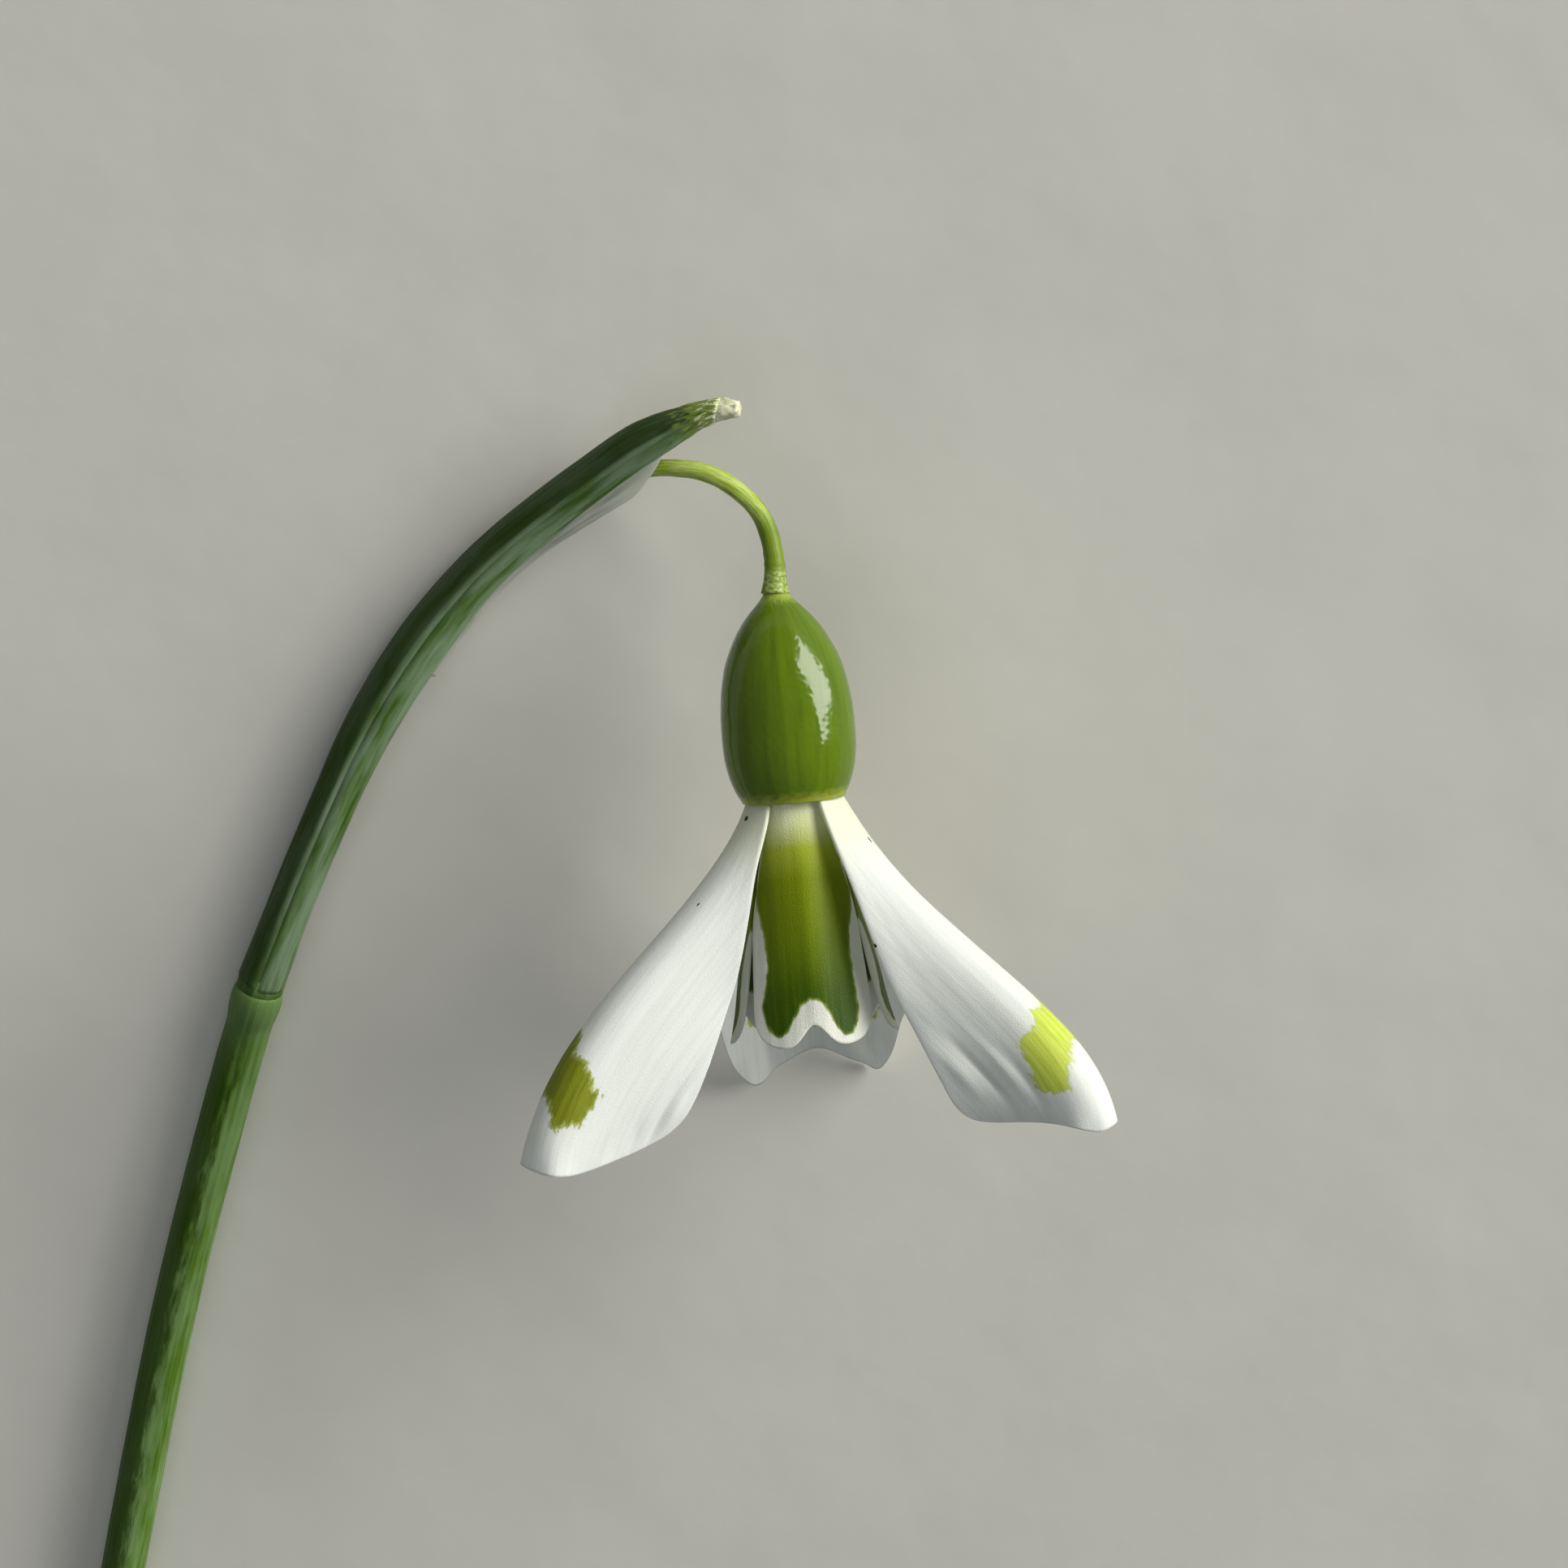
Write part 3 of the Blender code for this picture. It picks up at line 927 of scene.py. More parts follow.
@dataclass(frozen=True)
class Ovary:
    """The glossy green seed vessel over the tepals, with three faint lobes.

    Crown and foot are the shares of its rows that close its top and its base, and the rises are how
    far in mm they bulge. Its surface map is drawn at one radius.
    """

    columns: int = 230
    rows: int = 170
    lobe: float = 0.01225
    crown: float = 0.02
    crown_rise: float = 0.1
    foot: float = 0.04
    foot_rise: float = 0.35
    mean_radius: float = 3.6
    map_length: float = 14.0

    def place(self, across: float, down: float) -> Vector:
        """A point on the ovary: the first and last rows close it at its top and base.

        Args:
            across: -1..1 round it.
            down: 0..1 from its top to its base.

        Returns:
            The point in the head's own frame, in mm.
        """
        side = (down - self.crown) / (1 - self.crown - self.foot)
        height, radius = profile_at(min(max(side, 0.0), 1.0))
        if down < self.crown:
            share = down / self.crown
            radius *= share
            height += self.crown_rise * (1 - share)
        if down > 1 - self.foot:
            share = (1 - down) / self.foot
            radius *= share
            height += self.foot_rise * (1 - share)
        angle = across * math.pi
        radius *= 1 + self.lobe * math.cos(3 * angle + 0.6) * math.sin(math.pi * down)
        around = Vector((math.cos(angle), math.sin(angle), 0)) * self.mean_radius + Vector((0, 0, height))
        crinkle = 0.012 * noise.noise(around * 1.1) + 0.01 * noise.noise(around * 4.2)
        radius += crinkle * min(1.0, radius)
        return Vector((radius * math.cos(angle), radius * math.sin(angle), height))

    def chart(self, across: float, down: float) -> Pair:
        """Millimetres round and along the ovary."""
        return across * math.pi * self.mean_radius, down * self.map_length

    def build(self, head: Matrix) -> None:
        """Makes the ovary.

        Args:
            head: takes the head's own millimetres to the row frame's.
        """
        # Smooth skin under a wax-smooth cuticle, which mirrors the window in one clear patch.
        finish = OvaryFinish(
            "ovary_cuticle", deep="#4A6306", light="#587208", bloom="#66800A", bloom_share=0.2,
            streak=(0.9, 12.0), depth=0.004, roughness=0.5, length=self.map_length,
            coat=0.9, coat_roughness=0.13, gloss=0.0,
        ).material()
        made = Tissue("ovary_tissue", self.columns, self.rows, self.place, self.chart, closed=True)
        joined(made.grow(head, finish), "ovary", "ovary")


@dataclass(frozen=True)
class TepalShape:
    """An outer tepal's size: midrib control points are (from the axis, below the base) in mm.

    Azimuth and roll are in degrees. The tepal is folded along the midrib: steepness is the slope of
    its flanks and crease half the fold's width in mm. Sweep turns the flank nearer the axis away
    from the upper side, reach is the share of the length at each place from margin to margin, and
    puckers are soft folds as (place across in mm, place along in mm, half width, half length, height).
    Greens are the mark's two greens: the left tepal's are darker as painted shade and the right
    tepal's brighter as painted light.
    """

    side: str
    azimuth: float
    midrib: tuple[Pair, ...]
    half_width: Knots
    steepness: Knots
    crease: float
    roll: float
    sweep: Knots
    reach: Knots
    mark: Sequence[Pair]
    puckers: Sequence[tuple[float, float, float, float, float]] = ()
    specks: tuple[Speck, ...] = ()
    seed: float = 0.0
    greens: tuple[str, str] = ("#A9B92A", "#93A61A")


def arc(width: float, radius: float, lift: float) -> Pair:
    """Place of a flattened distance on a round section.

    Args:
        width: the flattened distance from the section's middle, in mm.
        radius: the section's radius, in mm.
        lift: relief outwards, in mm.

    Returns:
        The sideways and the outward place, in mm.
    """
    bend = width / radius
    return (radius + lift) * math.sin(bend), (radius + lift) * math.cos(bend) - radius


def fold(width: float, steepness: float, crease: float, lift: float) -> Pair:
    """Place of a flattened distance on a section folded along its middle.

    Args:
        width: the flattened distance from the fold, in mm.
        steepness: slope of the flanks.
        crease: half width of the rounded fold, in mm.
        lift: relief outwards, in mm.

    Returns:
        The sideways and the outward place, in mm.
    """
    slant = math.hypot(width, crease)
    lean = steepness * width / slant
    upright = math.sqrt(1 - lean * lean)
    return width * upright + lift * lean, lift * upright - steepness * (slant - crease)


def tissue_point(azimuth: float, midrib: Sequence[Pair], down: float, section: Pair,
                 roll: float) -> Vector:
    """A point on a tepal, in the flower head's own frame.

    Args:
        azimuth: turn about the flower axis, in degrees.
        midrib: its control points.
        down: 0..1 along the midrib.
        section: sideways and outward place on the section there, in mm.
        roll: turn of the end about the midrib, in degrees.

    Returns:
        The point, in mm.
    """
    step = 0.01
    spine = bezier(midrib, down)
    forward = (bezier(midrib, down + step) - bezier(midrib, down - step)).normalized()
    turn = math.radians(roll) * down
    side = section[0] * math.cos(turn) - section[1] * math.sin(turn)
    depth = section[0] * math.sin(turn) + section[1] * math.cos(turn)
    place = Vector((side, -spine.x - depth * forward.y, depth * forward.x - spine.y))
    return Matrix.Rotation(math.radians(azimuth), 3, "Z") @ place


OUTER_TEPALS = (
    TepalShape(
        side="left",
        azimuth=-65.3,
        midrib=((2.42, -0.1), (4.95, 5.42), (15.7, 10.4), (17.4, 18.5)),
        half_width=((0, 1.5), (0.18, 2.58), (0.42, 5.96), (0.7, 7.87), (1, 7.59)),
        steepness=((0, 0.54), (0.3, 0.93), (0.65, 0.85), (1, 0.84)),
        crease=1.64,
        roll=-29.6,
        sweep=((0, 0), (0.3, 0.04), (0.6, 0.34), (1, 0.36)),
        reach=(
            (-1, 0.62), (-0.88, 0.721), (-0.75, 0.801), (-0.5, 0.908), (-0.25, 0.97), (-0.08, 0.985),
            (0.12, 0.998), (0.28, 0.985), (0.5, 0.92), (0.62, 0.867), (0.75, 0.8), (0.88, 0.72),
            (1, 0.62),
        ),
        mark=(
            (-4.3, 16.5), (-3.2, 16.9), (-2.3, 16.0), (-1.2, 15.7), (-0.3, 16.1), (-0.2, 16.9),
            (0.42, 17.3), (1.04, 17.4), (1.65, 17.9), (2.0, 18.4), (2.65, 18.6), (2.45, 19.9),
            (2.4, 20.4), (2.2, 21.0), (1.4, 21.15), (0.8, 21.75), (0.4, 21.3), (-0.2, 20.2),
            (-1.4, 19.95), (-1.9, 21.0), (-2.9, 21.3), (-3.4, 20.2), (-4.4, 19.6), (-4.0, 18.2),
        ),
        puckers=(
            (6.5, 18.3, 0.22, 2.6, -0.22), (5.6, 20.2, 0.3, 1.4, -0.14), (7.1, 17.4, 0.2, 1.8, 0.15),
        ),
        specks=(Speck(0.1, 1.0, 0.17, 0.15), Speck(-0.9, 9.1, 0.07, 0.3), Speck(0.6, 6.6, 0.05, 0.12)),
        seed=3.0,
        # The left tepal's mark greens are darker than the back tepal's: painted shade.
        greens=("#8A9420", "#767F14"),
    ),
    TepalShape(
        side="right",
        azimuth=64.4,
        midrib=((2.42, -0.1), (6.43, 8.01), (16.4, 11.9), (17.05, 18.7)),
        half_width=((0, 1.5), (0.18, 2.82), (0.42, 5.75), (0.7, 7.85), (1, 8.0)),
        steepness=((0, 0.48), (0.3, 0.82), (0.65, 0.82), (1, 0.89)),
        crease=1.9,
        roll=23.3,
        sweep=((0, 0), (0.3, 0.06), (0.6, 0.4), (1, 0.46)),
        reach=(
            (-1, 0.66), (-0.88, 0.72), (-0.75, 0.785), (-0.62, 0.84), (-0.5, 0.885), (-0.25, 0.955),
            (-0.05, 1.0), (0.06, 0.99), (0.25, 0.972), (0.5, 0.913), (0.75, 0.804), (0.88, 0.735),
            (1, 0.66),
        ),
        mark=(
            (4.2, 16.6), (2.8, 15.9), (1.5, 15.6), (0.6, 16.5), (-0.39, 16.35), (-0.8, 17.0),
            (-1.2, 17.35), (-1.97, 17.2), (-2.55, 17.5), (-2.8, 18.7), (-3.15, 19.7), (-3.15, 20.3),
            (-2.95, 20.9), (-1.6, 21.5), (-1.2, 21.2), (-1.0, 20.35), (-0.4, 20.05), (0.0, 19.3),
            (0.8, 19.0), (1.6, 19.3), (2.6, 20.9), (3.6, 20.2), (4.4, 18.6),
        ),
        puckers=(
            (-5.2, 17.5, 0.3, 2.4, -0.2), (-4.1, 18.0, 0.28, 2.6, 0.12), (-3.4, 19.6, 0.26, 2.2, -0.14),
            (-6.2, 16.5, 0.4, 2.0, 0.15),
        ),
        specks=(Speck(0.6, 3.1, 0.1, 0.22), Speck(-4.2, 7.9, 0.09, 0.12)),
        seed=11.0,
        # The right tepal's mark greens are brighter than the back tepal's: painted light.
        greens=("#DCEA6A", "#C8D84A"),
    ),
    TepalShape(
        side="back",
        azimuth=180.0,
        midrib=((2.42, -0.1), (5.0, 6.0), (10.0, 8.8), (19.54, 17.9)),
        half_width=((0, 1.5), (0.18, 2.2), (0.42, 4.1), (0.7, 6.4), (1, 6.8)),
        steepness=((0, 0.48), (0.3, 0.6), (0.65, 0.6), (1, 0.5)),
        crease=3.0,
        roll=0.0,
        sweep=((0, 0), (1, 0)),
        reach=(
            (-1, 0.7), (-0.7, 0.8), (-0.52, 0.93), (-0.38, 0.99), (-0.25, 0.985), (0, 0.955),
            (0.22, 0.975), (0.37, 1.0), (0.5, 0.98), (0.65, 0.91), (0.8, 0.8), (1, 0.7),
        ),
        mark=(
            (-4.6, 16.4), (-4.2, 18.8), (-2.6, 18.9), (-1.2, 20.4), (0.4, 21.0), (1.8, 20.2),
            (3.4, 19.0), (4.5, 18.3), (4.4, 16.2), (2.2, 16.9), (0.0, 17.6), (-2.4, 16.6),
        ),
        puckers=((3.2, 21.4, 0.5, 2.2, 0.2), (-3.6, 21.4, 0.9, 1.8, -0.5), (-2.0, 21.8, 0.5, 1.4, 0.3)),
        seed=19.0,
    ),
)


@dataclass(frozen=True)
class OuterTepal:
    """A white outer tepal, ridged along its veins, puckered, with a thin wavy margin.

    Its wall is in mm and thins to a share at the margin. The claw is the length in mm over which the
    relief grows, and the heights after it, in mm, are those of the veins, the broad swell of the
    tissue, its ripples, the waves of its margin and the curl of its tip.
    """

    shape: TepalShape
    columns: int = 120
    rows: int = 150
    wall: float = 0.3
    margin: float = 0.25
    claw: float = 8.0
    vein: float = 0.004
    swell: float = 0.09
    ripple: float = 0.02
    wave: float = 0.3
    curl: float = 0.12
    curl_start: float = 0.86

    def station(self, across: float, down: float) -> Pair:
        """Across and down after the margin's outline is applied."""
        return math.sin(across * math.pi / 2), down * along(self.shape.reach, across)

    def chart(self, across: float, down: float) -> Pair:
        """Millimetres across and along the flattened tepal."""
        side, at = self.station(across, down)
        return side * along(self.shape.half_width, at), length_at(self.shape.midrib, at)

    def lift(self, side: float, at: float) -> float:
        """Relief of the tissue: veins, soft puckers, folds at the end and the wavy margin.

        Args:
            side: -1..1 from margin to margin.
            at: 0..1 along the midrib.

        Returns:
            The height outwards, in mm.
        """
        shape = self.shape
        u, v = side * along(shape.half_width, at), length_at(shape.midrib, at)
        broad = min(1.0, v / self.claw)
        relief = self.vein * math.cos(side * 31 + 0.8 * grain(u * 0.5, v * 0.2, shape.seed)) * broad
        relief += self.swell * grain(u * 0.3, v * 0.12, shape.seed + 2) * broad
        relief += self.ripple * grain(u, v * 0.25, shape.seed + 5) * broad
        relief += self.wave * abs(side) ** 8 * grain(side * 2, v * 0.3, shape.seed + 7) * broad
        for across, below, wide, long, height in shape.puckers:
            relief += height * hill(u, across, wide) * hill(v, below, long)
        tip = max(0.0, (at - self.curl_start) / (1 - self.curl_start)) ** 2
        return relief + self.curl * tip * math.cos(u * 2.1 + shape.seed)

    def place(self, across: float, down: float) -> Vector:
        """A point on the tepal.

        Args:
            across: -1..1 from margin to margin.
            down: 0..1 from the claw to the tip.

        Returns:
            The point in the head's own frame, in mm.
        """
        side, at = self.station(across, down)
        shape = self.shape
        width = side * along(shape.half_width, at)
        section = fold(width, along(shape.steepness, at), shape.crease, self.lift(side, at))
        point = tissue_point(shape.azimuth, shape.midrib, at, section, shape.roll)
        middle = tissue_point(shape.azimuth, shape.midrib, at, (0, 0), 0)
        inward = max(-math.copysign(1, shape.azimuth) * (point.x - middle.x), 0)
        point.y += along(shape.sweep, at) * inward * inward / (inward + 1)
        return point

    def build(self, head: Matrix) -> None:
        """Makes the tepal.

        Args:
            head: takes the head's own millimetres to the row frame's.
        """
        name = "outer_tepal_" + self.shape.side
        finish = TepalFinish(name + "_tissue", self.shape.specks, *self.shape.greens)
        made = Tissue(name + "_tissue", self.columns, self.rows, self.place, self.chart,
                      mark=self.shape.mark, wall=self.wall, margin=self.margin)
        joined(made.grow(head, finish.material()), "outer_tepal", name)


INNER_MIDRIB = ((2.0, -0.1), (2.55, 4.0), (3.75, 8.5), (4.45, 13.3))
INNER_BLAZE = (
    (-1.8, -1.0), (-1.9, 1.8), (-2.4, 3.4), (-2.85, 4.8), (-2.8, 5.7), (-2.5, 7.0), (-2.38, 8.2),
    (-2.4, 9.3), (-2.65, 10.2), (-2.9, 11.1), (-2.75, 12.0), (-2.4, 12.75), (-2.0, 13.0), (-1.5, 12.75),
    (-1.05, 12.0), (-0.62, 11.3), (-0.2, 11.0), (0.2, 11.0), (0.58, 11.35), (0.95, 12.1), (1.25, 12.75),
    (1.6, 13.1), (2.1, 12.95), (2.5, 12.3), (2.62, 11.4), (2.5, 10.2), (2.42, 8.9), (2.5, 7.3),
    (2.8, 6.0), (2.9, 4.9), (2.4, 3.4), (1.9, 1.8), (1.8, -1.0),
)


@dataclass(frozen=True)
class InnerTepal:
    """A short inner tepal, notched at its end, one of three that stand round the stamens.

    Spread is how much wider than the front tepal's its green blaze is. The heights, in mm, are
    those of its ribs, the ridge along its middle, its swell, its flared end and its raised margin.
    """

    side: str
    azimuth: float
    half_width: Knots
    seed: float
    spread: float = 1.0
    notch: float = 0.085
    corner: float = 0.15
    wall: float = 0.26
    margin: float = 0.35
    rib: float = 0.006
    ridge: float = 0.1
    ridge_side: float = 0.35
    swell: float = 0.05
    flare: float = 0.16
    raised: float = 0.18
    columns: int = 96
    rows: int = 100

    def station(self, across: float, down: float) -> Pair:
        """The outline's notch and rounded corners.

        Args:
            across: -1..1 from margin to margin.
            down: 0..1 from the claw to the tip.

        Returns:
            The same two numbers after the outline is applied.
        """
        side = math.sin(across * math.pi / 2 * 0.999)
        notch = self.notch * hill(side, 0, 0.24)
        corner = self.corner * (1 - math.sqrt(1 - side**4))
        return side, down * (1 - notch - corner)

    def chart(self, across: float, down: float) -> Pair:
        """Millimetres across and along the flattened tepal."""
        side, at = self.station(across, down)
        return side * along(self.half_width, at), length_at(INNER_MIDRIB, at)

    def place(self, across: float, down: float) -> Vector:
        """A point on the tepal.

        Args:
            across: -1..1 from margin to margin.
            down: 0..1 from the claw to the tip.

        Returns:
            The point in the head's own frame, in mm.
        """
        side, at = self.station(across, down)
        half = along(self.half_width, at)
        u, v = side * half, length_at(INNER_MIDRIB, at)
        lift = self.rib * math.cos(u * 7.5) * min(1.0, v / 4)
        lift += self.ridge * hill(u, self.ridge_side, 0.7) * min(1.0, v / 4)
        lift += self.swell * grain(u * 0.6, v * 0.3, self.seed)
        lift += self.flare * max(0.0, (v - 11.2) / 2) ** 2
        lift += self.raised * abs(side) ** 6 * min(1.0, v / 6)
        section = arc(u, bezier(INNER_MIDRIB, at).x, lift)
        return tissue_point(self.azimuth, INNER_MIDRIB, at, section, 0)

    def build(self, head: Matrix) -> None:
        """Makes the tepal.

        Args:
            head: takes the head's own millimetres to the row frame's.
        """
        name = "inner_tepal_" + self.side
        finish = InnerFinish(name + "_tissue").material()
        blaze = [(u * self.spread, v) for u, v in INNER_BLAZE]
        made = Tissue(name + "_tissue", self.columns, self.rows, self.place, self.chart,
                      mark=blaze, wall=self.wall, margin=self.margin)
        joined(made.grow(head, finish), "inner_tepal", name)


FRONT_WIDTH = ((0, 1.65), (0.12, 2.0), (0.3, 2.65), (0.5, 3.2), (0.75, 3.4), (1, 3.5))
SIDE_WIDTH = ((0, 1.65), (0.12, 2.0), (0.3, 2.6), (0.5, 3.3), (0.75, 4.05), (1, 4.45))
INNER_TEPALS = (
    InnerTepal("front", azimuth=1.0, half_width=FRONT_WIDTH, seed=31.0),
    InnerTepal("left", azimuth=-118.0, half_width=SIDE_WIDTH, seed=37.0, spread=1.3),
    InnerTepal("right", azimuth=119.0, half_width=SIDE_WIDTH, seed=41.0, spread=1.3),
)


@dataclass(frozen=True)
class Centre:
    """Stamens in a circle round the style, inside the inner tepals."""

    count: int = 6
    circle: float = 1.18
    lean: float = math.radians(3.5)

    @staticmethod
    def turned(name: str, profile: Knots, columns: int, grooves: int) -> Rod:
        """A rod turned about the head's axis.

        Args:
            name: the piece's name.
            profile: (depth below the base, radius) in mm.
            columns: corners round it.
            grooves: how many grooves run along its middle; with 0 it is slimmer there all round.

        Returns:
            The rod.
        """
        deep = profile[-1][0]
        route = Route([(0.0, Vector((0, 0, 0))), (1.0, Vector((0.0001, 0, -deep)))])
        points = as_knots([(depth, radius, 0) for depth, radius in profile])
        rings = [(0.0, 0.0)]
        for step in range(41):
            point = along(points, step / 40)
            rings.append((point.x / deep, point.y))
        rings.append((1.0, 0.0))

        def relief(angle: float, at: float) -> float:
            """Grooves along its middle, in mm."""
            return -0.05 * max(0.0, math.cos(grooves * angle)) ** 6 * (0.24 < at < 0.9)

        return Rod(name, route, rings, columns, relief)

    def build(self, head: Matrix) -> None:
        """Makes the six stamens and the style.

        Args:
            head: takes the head's own millimetres to the row frame's.
        """
        # The stamens are powdery orange like their pollen sacs, and the style is smooth and pale.
        orange = GrainFinish("anther_pollen_sacs", "#E29A22", "#C67A12", (0.14, 1.6), 0.04, 0.55)
        pale = GrainFinish("style_tissue", "#E4EAD0", "#C9D8A4", (0.2, 3.0), 0.03, 0.45)
        orange_sacs = orange.material()
        pale_style = pale.material()
        stamen = ((0.0, 0.2), (1.5, 0.2), (1.8, 0.38), (2.8, 0.43), (4.6, 0.36), (6.6, 0.16), (7.1, 0.05))
        for number in range(self.count):
            name = "stamen_" + str(number + 1)
            around = Matrix.Rotation(math.tau * (number + 0.5) / self.count, 4, "Z")
            out = Matrix.Translation((self.circle, 0, 0))
            turn = head @ around @ out @ Matrix.Rotation(self.lean, 4, "Y")
            joined(self.turned(name + "_tissue", stamen, 28, 2).grow(turn, orange_sacs), "anther", name)
        style = ((0.0, 0.22), (3.0, 0.3), (7.0, 0.34), (9.6, 0.24), (10.3, 0.08))
        joined(self.turned("style_tissue", style, 24, 0).grow(head, pale_style), "style", "style")


SPATHE_ROUTE = Route([
    (0.0, Vector((-31.42, -16.9, 1.46))), (0.19, Vector((-27.9, -8.1, 1.44))),
    (0.4, Vector((-23.4, 1.4, 1.43))), (0.61, Vector((-17.55, 9.75, 1.75))),
    (0.82, Vector((-10.2, 16.55, 3.2))), (0.95, Vector((-5.15, 20.4, 4.9))),
    (1.0, Vector((-3.0, 21.2, 5.6))),
])


@dataclass(frozen=True)
class Spathe:
    """The green hood over the flower stalk, its two valves grown together along the outer side.

    Half width and half depth are those of its section, slit is half the height of the opening on its
    inner side, and keel is the angle of the groove along it. The heights, in mm, are the groove's,
    its lip's, the ribs', the grain's and the shrivelled tip's. Girth turns an angle into mm.
    """

    half_width: Knots = (
        (0, 1.44), (0.1, 1.36), (0.27, 1.4), (0.37, 1.52), (0.49, 1.57), (0.6, 1.42),
        (0.7, 1.36), (0.82, 1.42), (0.88, 1.4), (0.95, 0.85), (1, 0.6),
    )
    half_depth: Knots = ((0, 1.42), (0.5, 1.42), (0.84, 1.42), (0.93, 1.0), (1, 0.6))
    slit: Knots = ((0, 0.3), (0.45, 0.5), (0.66, 0.62), (0.76, 1.0), (0.86, 1.08), (0.95, 0.5), (1, 0.24))
    wall: float = 0.26
    keel: float = 1.72
    end: float = 0.98
    tip_start: float = 0.95
    tip_radius: float = 0.6
    girth: float = 1.45
    groove: float = 0.11
    lip: float = 0.05
    rib: float = 0.012
    grained: float = 0.02
    shrunk: float = 0.12
    fade_start: float = 0.86
    columns: int = 150
    rows: int = 240

    def angle(self, across: float, at: float) -> float:
        """Angle round the section, 0 at the middle of the slit and pi at the outer side."""
        first = math.asin(along(self.slit, at) / (along(self.half_depth, at) - self.wall / 2))
        return math.pi + across * (math.pi - first)

    def place(self, across: float, down: float) -> Vector:
        """A point on the spathe.

        Args:
            across: -1..1 from one lip of the slit to the other.
            down: 0..1 from the node to the tip.

        Returns:
            The point, in mm.
        """
        at = down * self.end * (1 - 0.012 * across**2)
        middle, inner, up = SPATHE_ROUTE.frame(at)
        angle = self.angle(across, at)
        folded = min(angle, math.tau - angle)
        fade = 1 - max(0.0, (at - self.fade_start) / (1 - self.fade_start))
        lip = self.lip * hill(folded, self.keel - 0.27, 0.16)
        relief = lip - self.groove * hill(folded, self.keel, 0.1)
        relief += self.rib * math.cos(angle * 24) + self.grained * grain(angle * 1.5, at * 22, 4)
        relief = relief * fade + self.shrunk * (1 - fade) * grain(angle * 2, at * 60, 9)
        wide = along(self.half_width, at) - self.wall / 2 + relief
        deep = along(self.half_depth, at) - self.wall / 2 + relief
        return middle + inner * (wide * math.cos(angle)) + up * (deep * math.sin(angle))

    def chart(self, across: float, down: float) -> Pair:
        """Millimetres on the spathe, 0 across at the upper keel."""
        at = down * self.end
        return (self.angle(across, at) - self.keel) * self.girth, at * SPATHE_ROUTE.length()

    @staticmethod
    def shrivel(angle: float, at: float) -> float:
        """Relief of the dried tip, in mm."""
        return 0.16 * grain(angle * 1.3, at * 90, 3) + 0.06 * grain(angle * 4, at * 160, 8)

    def build(self, turn: Matrix) -> None:
        """Makes the hood and its dry tip.

        Args:
            turn: takes the modelling millimetres to the row frame's.
        """
        # The wax bloom on it is what makes the spathe bluish green and dull.
        finish = SpatheFinish(
            "spathe_glaucous", deep="#41611C", light="#5D8036", bloom="#9DB496", bloom_share=0.65,
            streak=(0.3, 9.0), depth=0.035, roughness=0.5, length=SPATHE_ROUTE.length(),
            through=0.08, patch=(1.2, 9.0),
        ).material()
        hood = Tissue("spathe_tissue", self.columns, self.rows, self.place, self.chart,
                      wall=self.wall, margin=0.5).grow(turn, finish)
        joined(hood, "spathe", "spathe_front_valve", "spathe_back_valve")
        # The tip has dried out to cream, like paper.
        dry = GrainFinish("spathe_dry_tip", "#F1F2D8", "#D3D6A6", (0.2, 0.5), 0.1).material()
        rings = [(self.tip_start - 0.005, 0.0)]
        for step in range(25):
            share = step / 24
            radius = self.tip_radius * math.sin(math.pi * (0.18 + 0.72 * share)) ** 0.4
            rings.append((self.tip_start + (1 - self.tip_start) * share, radius))
        rings.append((1.0, 0.0))
        joined(Rod("spathe_dry_tip", SPATHE_ROUTE, rings, 40, self.shrivel).grow(turn, dry), "spathe")


@dataclass(frozen=True)
class Membrane:
    """The thin skin between the valves on the inner side, a sleeve round the stalk at its mouth.

    Start and end are its places on the spathe's route, slant how far its mouth runs back at its
    middle, proud how far in mm it stands out of the slit, and tuck how far in mm it goes in.
    """

    spathe: Spathe
    start: float = 0.46
    end: float = 0.9
    slant: float = 0.085
    proud: Knots = ((0, 0.06), (0.4, 0.22), (0.8, 0.66), (1, 0.78))
    tuck: float = 0.32
    wall: float = 0.1
    map_width: float = 1.6
    map_length: float = 22.0

    def place(self, across: float, down: float) -> Vector:
        """A point on the skin.

        Args:
            across: -1..1 from one lip of the slit to the other.
            down: 0..1 from the skin's start to its mouth.

        Returns:
            The point, in mm.
        """
        down *= 1 - self.slant / (self.end - self.start) * (1 - across**2)
        at = self.start + (self.end - self.start) * down
        middle, inner, up = SPATHE_ROUTE.frame(at)
        slit = along(self.spathe.slit, at)
        deep = along(self.spathe.half_depth, at) - self.spathe.wall / 2
        wide = along(self.spathe.half_width, at)
        near = wide * math.sqrt(1 - (slit / deep) ** 2) - self.tuck
        far = wide + along(self.proud, down) + 0.05 * grain(across * 3, down * 14, 6) * down
        angle = across * math.pi / 2 * 0.999
        height = (slit - self.tuck) * math.sin(angle)
        return middle + inner * (near + (far - near) * math.cos(angle) ** 0.6) + up * height

    def chart(self, across: float, down: float) -> Pair:
        """Millimetres across and along the skin."""
        return across * self.map_width, down * self.map_length

    def build(self, turn: Matrix) -> None:
        """Makes the skin.

        Args:
            turn: takes the modelling millimetres to the row frame's.
        """
        finish = SkinFinish("spathe_membrane_skin", self.map_length).material()
        made = Tissue("spathe_membrane_tissue", 48, 140, self.place, self.chart, wall=self.wall)
        joined(made.grow(turn, finish), "membrane", "spathe_membrane")


